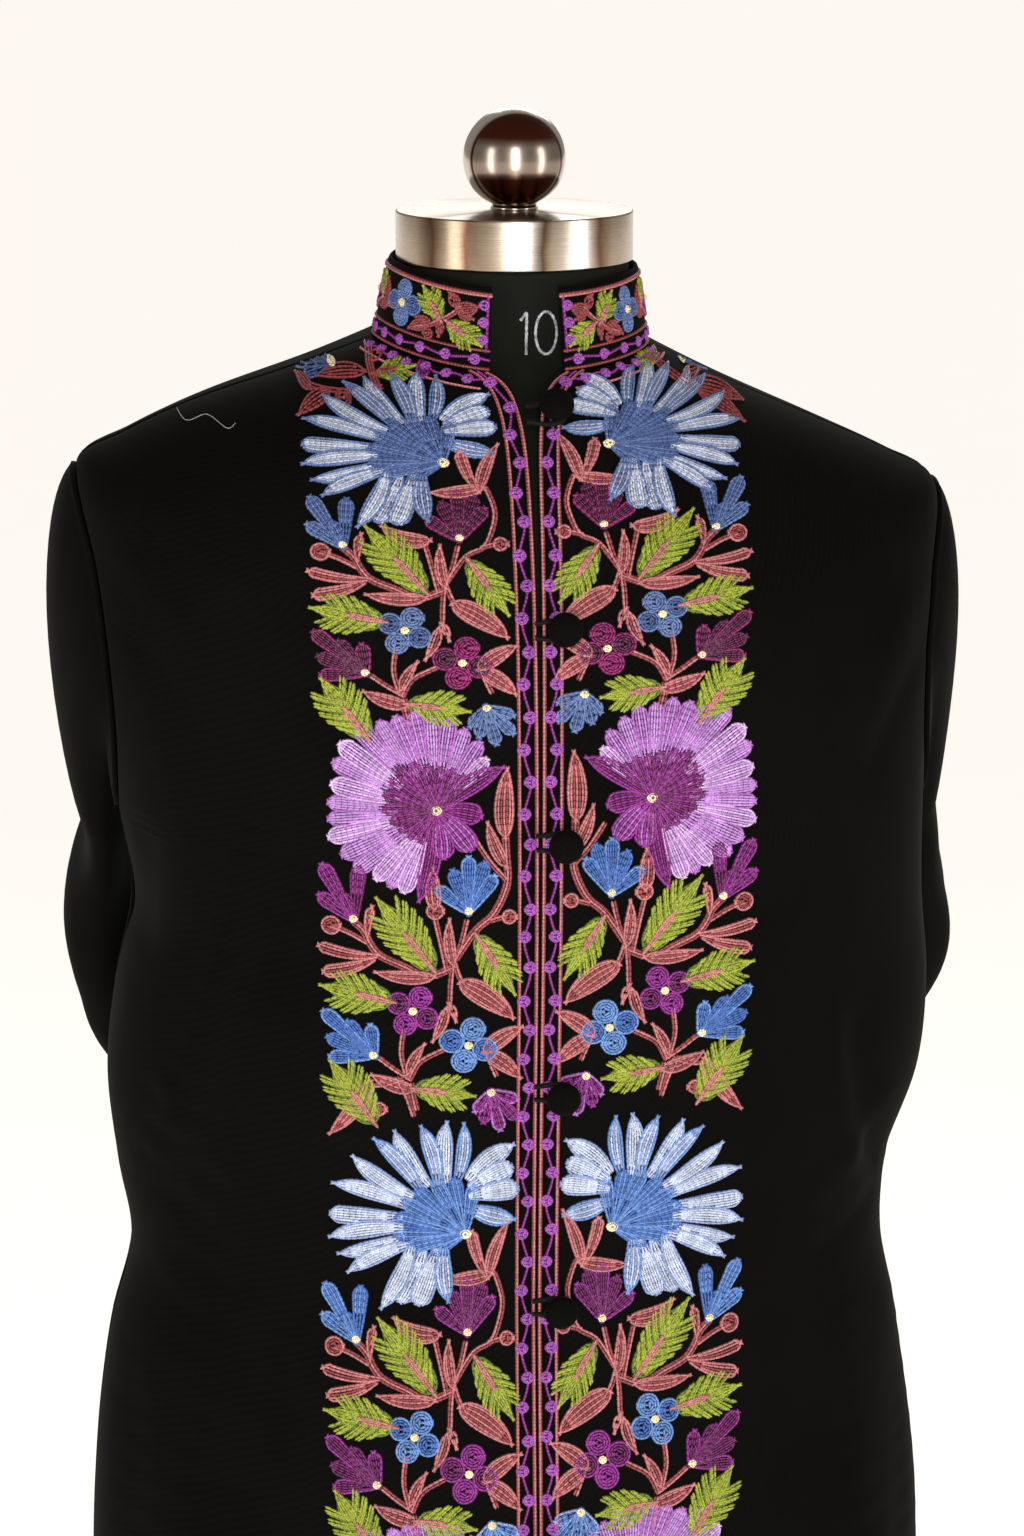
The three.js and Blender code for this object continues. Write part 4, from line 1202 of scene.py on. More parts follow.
# What stands in each band: motif, x, distance down the centre front, and its height's stretch.
RIGHT_BAND = (
    ("aster", -42.0, 47.5, 0.8), ("garland one", -44, 106, 0.88), ("dahlia", -48.6, 210.6, 1.0),
    ("garland two", -41.6, 285.3, 1.03), ("aster", -34.6, 425.4, 1.0),
    ("garland one", -41.6, 504, 1.09),
    ("dahlia", -46, 618, 1.0), ("garland two", -42, 693, 1.03),
)
LEFT_BAND = (
    ("aster", 36.3, 38.9, 0.76), ("garland one", 39.5, 100.5, 0.88), ("dahlia", 52.4, 206.7, 1.0),
    ("garland two", 41.5, 278, 1.03), ("aster", 36.5, 424, 1.0), ("garland one", 40, 499, 1.09),
    ("dahlia", 46, 613, 1.0), ("garland two", 42, 688, 1.03),
)


def band(table, mirror):
    """All the lines of one front's embroidery."""
    lines = []
    for name, x, down, stretch in table:
        kind = name.split()[0]
        if kind == "aster":
            top = down < 100
            lines += placed(aster(), x, down, mirror, stretch, SHADED_TOP_ASTER if top else None,
                            15 if top and mirror else 0)
        elif kind == "dahlia":
            lines += placed(dahlia(), x, down, mirror, stretch)
        else:
            second = name.endswith("two")
            threads = FIRST_PURPLE if second else (SHADED_TOP_BLUE if down < 150 else FIRST_BLUE)
            motif = garland(second) + (spray() if second else [])
            lines += placed(motif, x, down, mirror, stretch, threads)
    return lines


def neck_sprig(left):
    """The sprig between the collar and the first flower, as (distance from the middle, height)."""
    if left:
        lines = stem([(65.7, 1344), (66, 1339), (70, 1335), (81, 1327)], 4.4)
        buds = (((78, 1331), (88.5, 1331.5), 5.0), ((80, 1328), (107.5, 1319), 7.6),
                ((84, 1325.5), (105, 1312), 7.0))
        dot, tips = (80, 1336.5), ((98, 1330.5), (94, 1333), (90, 1335.5))
        lines += leaf((66, 1340), (54, 1339), 6.0)
    else:
        lines = stem([(72, 1346), (72.5, 1339), (70, 1331)], 4.2)
        lines += stem([(69, 1331), (80, 1329), (92, 1328.6), (103, 1330)], 3.2)
        lines += lobe((86, 1326), 4.0, "rust", "rust", 0.1)
        buds = (((75, 1336.5), (97, 1333), 6.4), ((101, 1328), (107, 1333), 5.2),
                ((92, 1328), (107, 1318.5), 6.8),
                ((72.5, 1341), (66, 1345.5), 4.4))
        dot, tips = (89, 1338), ((108.5, 1336), (107, 1340), (100, 1343), (103, 1333))
        lines += petal((48, 1343), (49, 1336), 6.5, ("violet", "plum"), "violet", ROUND_TIP,
                       0.0, 0.1)
        lines += leaf((70, 1336), (52.5, 1340), 8)
    for base, tip, width in buds:
        lines += petal(base, tip, width, "rust", "rust", BUD, 0.05, 0.1)
    lines += tulip(dot, tips, 6.0, "slate_mid", "slate_deep", "slate_deep")
    sign = 1 if left else -1
    return [(p * (sign, 1), {"rose": "rust"}.get(t, t), lift) for p, t, lift in lines]


# ----------------------------------------------------------------------- laying lines on the cloth


def down_profile():
    """Heights at the centre front against the distance down it from the neckline."""
    v = np.linspace(0, HEM, 400)
    rings = read(BODY, v)
    depth, height = rings[:, FRONT], rings[:, Z_FRONT]
    down = running(np.hypot(np.diff(depth), np.diff(height)))
    return down, height


def surface_tree(grids):
    """A tree of the cloth's outer faces, for laying lines on them."""
    points, faces = [], []
    for grid in grids:
        rows, columns = grid.shape[:2]
        start = len(points)
        points.extend(map(tuple, grid.reshape(-1, 3)))
        for r in range(rows - 1):
            for c in range(columns - 1):
                a = start + r * columns + c
                faces.append((a, a + columns, a + columns + 1, a + 1))
    return BVHTree.FromPolygons(points, faces)


def resampled(points, step):
    """Points at an even step along a line."""
    lengths = running(np.linalg.norm(np.diff(points, axis=0), axis=1))
    count = max(int(math.ceil(lengths[-1] / step)) + 1, 3)
    places = np.linspace(0, lengths[-1], count)
    return np.stack([np.interp(places, lengths, points[:, k]) for k in range(points.shape[1])], -1)


def front_hit(tree, x, z):
    """The point and the outward normal of the fronts straight behind x and z, or None."""
    hit = tree.ray_cast(Vector((x, -RAY_START, z)), Vector((0, 1, 0)), RAY_REACH)
    if hit[0] is None:
        return None
    return hit[0], hit[1] if hit[1].y < 0 else -hit[1]


def laid_on_front(lines, tree, by_height=False, edge=1.0):
    """Lines in the cloth's flat places, laid on the fronts. Each is cut where it leaves them."""
    down, height = down_profile()
    laid = []
    for points, thread, lift in lines:
        points = resampled(points, LINE_STEP)
        z = points[:, 1] if by_height else np.interp(points[:, 1], down, height)
        part = []
        for x, level in zip(points[:, 0], z):
            hit = front_hit(tree, x, level) if level > LOWEST_STITCH else None
            if hit is None or abs(x) < edge:
                if len(part) > 2:
                    laid.append((part, thread))
                part = []
                continue
            point, normal = hit
            part.append((point + normal * (STITCH_LIE + lift), normal))
        if len(part) > 2:
            laid.append((part, thread))
    return laid


# ------------------------------------------------------------------------------ chain stitch nodes


def stitch_nodes():
    """Geometry nodes that set a chain of plump stitches along every line."""
    tree = bpy.data.node_groups.new("Rows of chain stitch", "GeometryNodeTree")
    face = tree.interface
    face.new_socket("Lines", in_out="INPUT", socket_type="NodeSocketGeometry")
    for title, default in (("Stitch length", STITCH_LENGTH), ("Stitch width", STITCH_WIDTH),
                           ("Stitch height", STITCH_HEIGHT)):
        socket = face.new_socket(title, in_out="INPUT", socket_type="NodeSocketFloat")
        socket.default_value = default
    seed = face.new_socket("Seed", in_out="INPUT", socket_type="NodeSocketInt")
    seed.default_value = STITCH_SEED
    face.new_socket("Thread", in_out="INPUT", socket_type="NodeSocketMaterial")
    face.new_socket("Stitches", in_out="OUTPUT", socket_type="NodeSocketGeometry")

    nodes = tree.nodes
    start = nodes.new("NodeGroupInput")
    end = nodes.new("NodeGroupOutput")
    to_curve = nodes.new("GeometryNodeMeshToCurve")
    resample = nodes.new("GeometryNodeResampleCurve")
    resample.mode = "LENGTH"
    tangent = nodes.new("GeometryNodeInputTangent")
    along = nodes.new("FunctionNodeAlignRotationToVector")
    along.axis = "Z"
    upright = nodes.new("FunctionNodeAlignRotationToVector")
    upright.axis = "X"
    upright.pivot_axis = "Z"
    cloth_side = nodes.new("GeometryNodeInputNamedAttribute")
    cloth_side.data_type = "FLOAT_VECTOR"
    cloth_side.inputs["Name"].default_value = "lie"
    grain = nodes.new("GeometryNodeMeshUVSphere")
    grain.inputs["Segments"].default_value = 3
    grain.inputs["Rings"].default_value = 3
    grain.inputs["Radius"].default_value = 1.0
    soft = nodes.new("GeometryNodeSetShadeSmooth")
    vary = nodes.new("FunctionNodeRandomValue")
    vary.data_type = "FLOAT"
    vary.inputs["Min"].default_value = 0.84
    vary.inputs["Max"].default_value = 1.16
    size = nodes.new("ShaderNodeCombineXYZ")
    tall = nodes.new("ShaderNodeMath")
    tall.operation = "MULTIPLY"
    half_wide = nodes.new("ShaderNodeMath")
    half_wide.operation = "MULTIPLY"
    half_wide.inputs[1].default_value = 0.86
    half_long = nodes.new("ShaderNodeMath")
    half_long.operation = "MULTIPLY"
    half_long.inputs[1].default_value = 0.78
    place = nodes.new("GeometryNodeInstanceOnPoints")
    realize = nodes.new("GeometryNodeRealizeInstances")
    dye = nodes.new("GeometryNodeSetMaterial")

    attribute = next(o for o in cloth_side.outputs if o.enabled and o.name == "Attribute")
    value = next(o for o in vary.outputs if o.enabled)
    for output, node, socket in (
            (start.outputs["Lines"], to_curve, "Mesh"),
            (to_curve.outputs["Curve"], resample, "Curve"),
            (start.outputs["Stitch length"], resample, "Length"),
            (resample.outputs["Curve"], place, "Points"),
            (tangent.outputs["Tangent"], along, "Vector"),
            (along.outputs["Rotation"], upright, "Rotation"),
            (attribute, upright, "Vector"),
            (upright.outputs["Rotation"], place, "Rotation"),
            (grain.outputs["Mesh"], soft, "Geometry"),
            (soft.outputs["Geometry"], place, "Instance"),
            (start.outputs["Seed"], vary, "Seed"),
            (start.outputs["Stitch height"], tall, 0),
            (value, tall, 1),
            (start.outputs["Stitch width"], half_wide, 0),
            (start.outputs["Stitch length"], half_long, 0),
            (tall.outputs["Value"], size, "X"),
            (half_wide.outputs["Value"], size, "Y"),
            (half_long.outputs["Value"], size, "Z"),
            (size.outputs["Vector"], place, "Scale"),
            (place.outputs["Instances"], realize, "Geometry"),
            (realize.outputs["Geometry"], dye, "Geometry"),
            (start.outputs["Thread"], dye, "Material"),
            (dye.outputs["Geometry"], end, "Stitches")):
        tree.links.new(output, node.inputs[socket])
    return tree


def socket_named(tree, title):
    return next(i.identifier for i in tree.interface.items_tree
                if i.name == title and i.in_out == "INPUT")


def stitched(name, laid, settings, material, width=None, length=None, height=None):
    """A piece of stitches along laid lines, as a plain mesh."""
    points, edges, normals, colours = [], [], [], []
    for part, thread in laid:
        colour = (*getattr(settings.threads, thread), 1.0) if isinstance(thread,
                                                                         str) else (*thread, 1.0)
        for k, (point, normal) in enumerate(part):
            if k:
                edges.append((len(points) - 1, len(points)))
            points.append(tuple(Vector(point) * MM))
            normals.append(tuple(normal))
            colours.append(colour)
    mesh = bpy.data.meshes.new(name)
    mesh.from_pydata(points, edges, [])
    lie = mesh.attributes.new("lie", "FLOAT_VECTOR", "POINT")
    lie.data.foreach_set("vector", np.array(normals, dtype=np.float32).ravel())
    dyed = mesh.attributes.new("thread", "FLOAT_COLOR", "POINT")
    dyed.data.foreach_set("color", np.array(colours, dtype=np.float32).ravel())
    obj = new_object(name, mesh)
    tree = bpy.data.node_groups.get("Rows of chain stitch") or stitch_nodes()
    modifier = obj.modifiers.new("Chain stitch", "NODES")
    modifier.node_group = tree
    sizes = settings.stitch
    modifier[socket_named(tree, "Stitch length")] = length or sizes.length
    modifier[socket_named(tree, "Stitch width")] = width or sizes.width
    modifier[socket_named(tree, "Stitch height")] = height or sizes.height
    modifier[socket_named(tree, "Seed")] = sizes.seed
    modifier[socket_named(tree, "Thread")] = material
    return plain(obj)


def plain(obj):
    """The object with its modifiers made part of a plain mesh."""
    graph = bpy.context.evaluated_depsgraph_get()
    graph.update()
    mesh = bpy.data.meshes.new_from_object(obj.evaluated_get(graph), preserve_all_data_layers=True,
                                           depsgraph=graph)
    mesh.name = obj.name
    before = obj.data
    obj.modifiers.clear()
    obj.data = mesh
    bpy.data.meshes.remove(before)
    if not len(mesh.polygons):
        raise RuntimeError(f"{obj.name} came out empty")
    for spare in [a.name for a in mesh.attributes if a.name == "lie"]:
        mesh.attributes.remove(mesh.attributes[spare])
    return obj


# ------------------------------------------------------------------------------- shared work

MADE = {}


def finish_of(name, make):
    """A material made once and shared."""
    return bpy.data.materials.get(name) or make()


def cloth_material(settings):
    return finish_of("black wool twill",
                     lambda: twill_finish("black wool twill", settings.finish.cloth,
                                          settings.finish.twill))


def thread_material():
    return finish_of("embroidery thread", thread_finish)


def front_grid(left, columns=58, rows=230):
    grid, normals = [], []
    for v in body_rows(rows):
        inner = front_gap(v) / quarter_length(v, left, True)
        outer = 1 - side_setback(v, left, True)
        us = inner + (outer - inner) * np.linspace(0, 1, columns)
        points, normal = cloth_row(us if left else (4 - us)[::-1], v)
        grid.append(points)
        normals.append(normal)
    return np.array(grid), np.array(normals)


def back_grid(columns=70, rows=160):
    grid, normals = [], []
    for v in body_rows(rows):
        us = np.linspace(1 + side_setback(v, True, False), 3 - side_setback(v, False, False),
                         columns)
        points, normal = cloth_row(us, v)
        grid.append(points)
        normals.append(normal)
    return np.array(grid), np.array(normals)


def armhole_loop(left, steps):
    """The armhole's outline from the shoulder tip down its back edge and up its front edge."""
    side_line, away = (1, 1) if left else (3, -1)

    def edge(step, front):
        v = ARMHOLE_MIDDLE - ARMHOLE_HALF * math.cos(math.pi * step / steps)
        setback = side_setback(v, left, front)
        points, normals = cloth_row(np.array([side_line + (-away if front else away) * setback]),
                                    v)
        return points[0], normals[0]

    loop = [edge(k, False) for k in range(steps)] + [edge(steps - k, True) for k in range(steps)]
    points = np.array([p for p, _ in loop])
    normals = np.array([n for _, n in loop])
    inward = points.mean(axis=0) - points
    inward -= normals * (inward * normals).sum(axis=1, keepdims=True)
    inward /= np.linalg.norm(inward, axis=1, keepdims=True)
    return points + inward * SEAM


def clear_of_body(points):
    """Points moved straight out from the axis until they are clear of the body's cloth."""
    front, left = points[:, 1] < 0, points[:, 0] > 0
    angle = np.arctan2(np.abs(points[:, 0]), np.abs(points[:, 1]))
    above, below = np.zeros(len(points)), np.full(len(points), float(HEM))
    for _ in range(24):
        v = (above + below) / 2
        high = quarter_point(read(BODY, v), left, front, angle)[:, 2] > points[:, 2]
        above = np.where(high, v, above)
        below = np.where(high, below, v)
    body = quarter_point(read(BODY, above), left, front, angle)
    reach = np.hypot(body[:, 0], body[:, 1]) + fold_lift(front, body) + SLEEVE_CLEAR
    distance = np.hypot(points[:, 0], points[:, 1])
    scale = np.maximum(reach / distance, 1.0)
    return np.stack([points[:, 0] * scale, points[:, 1] * scale, points[:, 2]], -1)


def sleeve_grid(left, steps=36, rows=96):
    """A sleeve's outer grid, from the armhole to the cuff, and its normals."""
    loop = armhole_loop(left, steps)
    columns = len(loop)
    sign, out = (1, OUT_LEFT) if left else (-1, OUT_RIGHT)
    last = len(SLEEVE) - 1
    turn = 2 * math.pi * np.arange(columns) / columns

    def centre(t):
        r = read(SLEEVE, t)
        return np.array([sign * r[out], r[SECTION_Y], r[SECTION_Z]])

    grid = [loop]
    for k in range(1, rows):
        row = last * (k / (rows - 1)) ** SLEEVE_CROWDING
        r = read(SLEEVE, row)
        run = centre(min(row + 0.1, last)) - centre(max(row - 0.1, 0))
        run /= np.linalg.norm(run)
        facing = math.radians(r[FACING])
        flat_way = np.array([sign * math.cos(facing), math.sin(facing), 0.0])
        flat_way -= run * flat_way.dot(run)
        flat_way /= np.linalg.norm(flat_way)
        long_way = np.cross(run, flat_way)
        if long_way[2] < 0:
            long_way = -long_way
        power = 2 / SLEEVE_ROUND
        section = (centre(row)
                   + np.outer(r[FLAT] * np.sign(np.cos(turn)) * np.abs(np.cos(turn)) ** power,
                              flat_way)
                   + np.outer(r[LONG] * np.sign(np.sin(turn)) * np.abs(np.sin(turn)) ** power,
                              long_way))
        down = min(max(row / SLEEVE_HEAD, 0), 1)
        mixed = loop + (section - loop) * smooth(down)
        mixed[:, 0] += sign * SLEEVE_PUFF * math.sin(math.pi * down) * (0.5 + 0.5 * np.cos(turn))
        grid.append(clear_of_body(mixed))
    grid = np.array(grid)
    normals = tube_normals(grid)
    along = np.linspace(0, 1, rows)[:, None]
    around = np.arange(columns)[None, :] / columns
    lift = np.zeros((rows, columns))
    for place, side, reach_along, reach_around, height in SLEEVE_FOLDS:
        slant = (np.mod(around - side + 0.5, 1) - 0.5)
        lift += height * np.exp(-(((along - place - 0.12 * slant) / reach_along) ** 2)
                                - (slant / reach_around) ** 2)
    lift = np.where(lift > 0, lift,
                    lift * np.clip((grid - grid.mean(axis=1, keepdims=True))[..., 1] / 10 + 1,
                                   0, 1))
    return grid + normals * lift[..., None], normals


def tube_normals(grid):
    across = np.roll(grid, -1, axis=1) - np.roll(grid, 1, axis=1)
    down = np.concatenate([grid[1:], grid[-1:]]) - np.concatenate([grid[:1], grid[:-1]])
    normals = np.cross(down, across)
    normals /= np.maximum(np.linalg.norm(normals, axis=2, keepdims=True), 1e-9)
    outward = grid - grid.mean(axis=1, keepdims=True)
    return normals * np.where((normals * outward).sum(axis=2, keepdims=True) < 0, -1, 1)


def collar_point(us, t):
    """The collar's outer points at us, a share t up from the seam."""
    low = skin(us, 0)
    low[:, 2] += SEAM
    return low + (ring_points(COLLAR_TOP, us) - low) * t


def collar_grid(columns=110, rows=22):
    start = front_gap(0) / quarter_length(0, True, True)
    end = 4 - front_gap(0) / quarter_length(0, False, True)
    us = np.linspace(start, end, columns)
    grid, normals = [], []
    for k in range(rows):
        t = 1 - k / (rows - 1)
        points = collar_point(us, t)
        level = collar_point(us + 0.01, t) - collar_point(us - 0.01, t)
        normal = np.stack([level[:, 1], -level[:, 0], np.zeros(columns)], -1)
        grid.append(points)
        normals.append(normal / np.linalg.norm(normal, axis=1, keepdims=True))
    return np.array(grid), np.array(normals)


# ------------------------------------------------------------------------------- operators


class JACKET_OT_fronts(Operator):
    """Makes the two fronts of black twill"""

    bl_idname = "jacket.fronts"
    bl_label = "Fronts"

    def execute(self, context):
        for left, name in ((False, "front_right"), (True, "front_left")):
            grid, normals = front_grid(left)
            MADE[name] = grid
            obj = cloth_wall(f"{name}_cloth", grid, normals, cloth_material(context.scene.jacket))
            declare_cloth(obj, name, grid)
        return {"FINISHED"}


class JACKET_OT_back(Operator):
    """Makes the back of black twill"""

    bl_idname = "jacket.back"
    bl_label = "Back"

    def execute(self, context):
        grid, normals = back_grid()
        MADE["back"] = grid
        obj = cloth_wall("back_cloth", grid, normals, cloth_material(context.scene.jacket))
        declare_cloth(obj, "back", grid)
        return {"FINISHED"}


class JACKET_OT_sleeves(Operator):
    """Makes the two sleeves, drawn back behind the form"""

    bl_idname = "jacket.sleeves"
    bl_label = "Sleeves"

    def execute(self, context):
        for left, name in ((False, "sleeve_right"), (True, "sleeve_left")):
            grid, normals = sleeve_grid(left)
            MADE[name] = grid
            obj = cloth_wall(f"{name}_cloth", grid, normals, cloth_material(context.scene.jacket),
                             tube=True)
            closed = np.concatenate([grid, grid[:, :1]], axis=1)
            declare_cloth(obj, name, closed)
        return {"FINISHED"}


class JACKET_OT_collar(Operator):
    """Makes the stand collar"""

    bl_idname = "jacket.collar"
    bl_label = "Collar"

    def execute(self, context):
        grid, normals = collar_grid()
        obj = cloth_wall("collar_cloth", grid, normals, cloth_material(context.scene.jacket))
        declare_cloth(obj, "collar", grid)
        return {"FINISHED"}


class JACKET_OT_buttons(Operator):
    """Makes the six fabric-covered ball buttons on their shanks"""

    bl_idname = "jacket.buttons"
    bl_label = "Buttons"

    def execute(self, context):
        cloth = finish_of("button twill",
                          lambda: twill_finish("button twill", context.scene.jacket.finish.cloth,
                                               0.0012, "Object"))
        profile = [(0, 0), (SHANK_RADIUS, 0), (SHANK_RADIUS * 0.8, SHANK_HEIGHT * 0.6),
                   (SHANK_RADIUS, SHANK_HEIGHT)]
        middle = SHANK_HEIGHT + DOME_HEIGHT
        for degrees in range(-64, 90, 11):
            angle = math.radians(degrees)
            profile.append((BUTTON_RADIUS * math.cos(angle) ** 0.92,
                            middle + DOME_HEIGHT * math.sin(angle)))
        profile.append((0, SHANK_HEIGHT + 2 * DOME_HEIGHT))
        for i, z in enumerate(BUTTON_HEIGHTS, 1):
            point, normal = on_front(BUTTON_X, z)
            obj = turned_mesh(f"button_{i}_cover", profile, 36, cloth,
                              (point + normal * SEAT, normal))
            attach(obj, "root")
            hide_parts(f"button_{i}")
        return {"FINISHED"}


def tube(name, path, radius, sides, twist, material, strands=2, depth=0.16):
    """A closed tube along a path, its surface rising and falling like twisted strands."""
    path = resampled(np.asarray(path), radius * 0.45)
    run = np.gradient(path, axis=0)
    run /= np.linalg.norm(run, axis=1, keepdims=True)
    lengths = running(np.linalg.norm(np.diff(path, axis=0), axis=1))
    side = np.cross(run[0], (0.3, 0.5, 0.8))
    points = []
    angle = 2 * math.pi * np.arange(sides) / sides
    for centre, forward, length in zip(path, run, lengths):
        side = side - forward * side.dot(forward)
        side /= np.linalg.norm(side)
        other = np.cross(forward, side)
        swell = radius * (1 - depth
                          + depth * np.abs(np.cos(strands * (angle - twist * length) / 2)) ** 0.6)
        points.append(centre + np.outer(swell * np.cos(angle),
                                        side) + np.outer(swell * np.sin(angle), other))
    rows = len(points)
    flat = list(np.concatenate(points)) + [path[0], path[-1]]
    faces = []
    for r in range(rows - 1):
        for c in range(sides):
            a, b = r * sides + c, r * sides + (c + 1) % sides
            faces.append((a, b, b + sides, a + sides))
    for c in range(sides):
        faces.append((rows * sides, (c + 1) % sides, c))
        end = (rows - 1) * sides
        faces.append((rows * sides + 1, end + c, end + (c + 1) % sides))
    obj = finish_mesh(name, flat, faces, None, material)
    face_outwards(obj)
    return obj


class JACKET_OT_loops(Operator):
    """Makes the six twisted cord loops that hold the buttons"""

    bl_idname = "jacket.loops"
    bl_label = "Button loops"

    def execute(self, context):
        cord = finish_of("black cord", lambda: cord_finish(context.scene.jacket.finish.cord))
        beside, diagonal = BUTTON_X - SHANK_RADIUS, LOOP_TURN * 0.75
        flat = [(LOOP_START, LOOP_HALF), (0, LOOP_HALF), (beside, LOOP_TURN),
                (BUTTON_X + diagonal, diagonal),
                (BUTTON_X + LOOP_TURN * 1.06, 0), (BUTTON_X + diagonal, -diagonal),
                (beside, -LOOP_TURN),
                (0, -LOOP_HALF), (LOOP_START, -LOOP_HALF)]
        for i, z in enumerate(BUTTON_HEIGHTS, 1):
            route = []
            for x, dz in flat:
                point, normal = on_front(x or 0.01, z + dz)
                route.append(point + normal * (CORD_RADIUS + SEAT))
            path = read(np.array(route), np.linspace(0, len(route) - 1, 80))
            obj = tube(f"button_loop_{i}_cord", path, CORD_RADIUS, 12, 1.1, cord)
            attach(obj, "root")
            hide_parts(f"button_loop_{i}")
        return {"FINISHED"}


class JACKET_OT_form(Operator):
    """Makes the limbless dress form under the jacket"""

    bl_idname = "jacket.form"
    bl_label = "Dress form"

    def execute(self, context):
        us = np.linspace(0, 4, 128, endpoint=False)
        quarter = np.floor(us).astype(int)
        to_side = np.where(quarter % 2 == 0, us - quarter, 1 - (us - quarter))
        neck = skin(us, 0)
        reach = np.hypot(neck[:, 0], neck[:, 1])

        def neck_ring(radius, z):
            return np.stack([neck[:, 0] * radius / reach, neck[:, 1] * radius / reach,
                             np.broadcast_to(z, len(us))], -1)

        rings = [neck_ring(NECK_RADIUS * k / 6, NECK_TOP) for k in range(1, 6)]
        rings += [neck_ring(NECK_RADIUS - 1.5, NECK_TOP),
                  neck_ring(NECK_RADIUS - 0.4, NECK_TOP - 0.4),
                  neck_ring(NECK_RADIUS, NECK_TOP - 1.5)]
        for share in (0.75, 0.5, 0.3, 0.15):
            rings.append(neck_ring(NECK_RADIUS, neck[:, 2] + (NECK_TOP - neck[:, 2]) * share))
        rings.append(neck_ring(NECK_RADIUS + 3, neck[:, 2] + 3))
        for v in np.concatenate([np.linspace(0, 4, 26), np.linspace(4, FORM_END, 70)[1:]]):
            below_neck = smooth((v + 0.16) / 0.8)
            above_tip = 1 - smooth((v - SHOULDER_TIP + 1) / 1.2)
            resting = smooth((to_side - 0.2) / 0.3) * below_neck * above_tip
            ease = EASE + (REST - EASE) * resting
            rings.append(skin(us, v) - skin_normals(us, v) * (WALL + ease)[:, None])
        last = rings[-1]
        for width, height in ((0.985, 3), (0.975, 1), (0.96, 0), (0.6, 0), (0.3, 0)):
            rings.append(np.stack([last[:, 0] * width, last[:, 1] * width,
                                   np.full(len(us), FORM_BOTTOM + height)], -1))
        columns = len(us)
        points = list(np.concatenate(rings)) + [np.array((0, 0, NECK_TOP)),
                                                np.array((0, 0, FORM_BOTTOM))]
        faces = []
        for r in range(len(rings) - 1):
            for c in range(columns):
                a, b = r * columns + c, r * columns + (c + 1) % columns
                faces.append((a, a + columns, b + columns, b))
        top, bottom = len(points) - 2, len(points) - 1
        end = (len(rings) - 1) * columns
        for c in range(columns):
            faces.append((top, c, (c + 1) % columns))
            faces.append((bottom, end + (c + 1) % columns, end + c))
        jersey = finish_of("black jersey",
                           lambda: jersey_finish(context.scene.jacket.finish.jersey))
        obj = finish_mesh("dress_form_cover", points, faces, None, jersey)
        face_outwards(obj)
        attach(obj, "root")
        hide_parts("dress_form")
        return {"FINISHED"}


class JACKET_OT_number(Operator):
    """Paints the size number on the neck of the form"""

    bl_idname = "jacket.number"
    bl_label = "Size number"

    def execute(self, context):
        chalk = finish_of("chalky paint", chalk_finish)
        height, width = 20.2, 10.2
        left, bottom = -2.2, 1345.3
        one = [(left + 0.2, bottom + height * 0.8), (left + 1.7, bottom + height * 0.9),
               (left + 3.2, bottom + height),
               (left + 3.2, bottom + height * 0.66), (left + 3.0, bottom + height * 0.33),
               (left + 3.0, bottom)]
        angle = np.linspace(math.pi / 2, math.pi / 2 + 2 * math.pi, 40)
        nought = np.stack([left + 12.6 + width / 2 * np.cos(angle),
                           bottom + height / 2 * (1 + np.sin(angle))], -1)
        pieces = []
        for stroke in (resampled(np.array(one, dtype=float), 0.8), resampled(nought, 0.8)):
            side = side_of(stroke)
            points, faces = [], []
            for k, ((x, z), (sx, sz)) in enumerate(zip(stroke, side)):
                half = 0.72 * (1 + 0.14 * math.sin(k * 1.7))
                for away, out in ((-half, 0.05), (-half * 0.6, 0.3), (half * 0.6, 0.3),
                                  (half, 0.05), (0.0, -0.4)):
                    px, pz = x + sx * away, z + sz * away
                    depth = math.sqrt(max(NECK_RADIUS ** 2 - px ** 2, 1))
                    points.append((px, -depth - out, pz))
                if k:
                    for c in range(5):
                        a, b = (k - 1) * 5 + c, (k - 1) * 5 + (c + 1) % 5
                        faces.append((a, b, b + 5, a + 5))
            faces.append((0, 1, 2, 3, 4))
            end = len(points) - 5
            faces.append((end + 4, end + 3, end + 2, end + 1, end))
            pieces.append((points, faces))
        points, faces = [], []
        for some, theirs in pieces:
            faces += [tuple(i + len(points) for i in face) for face in theirs]
            points += some
        obj = finish_mesh("size_number", points, faces, None, chalk)
        face_outwards(obj)
        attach(obj, "root")
        return {"FINISHED"}


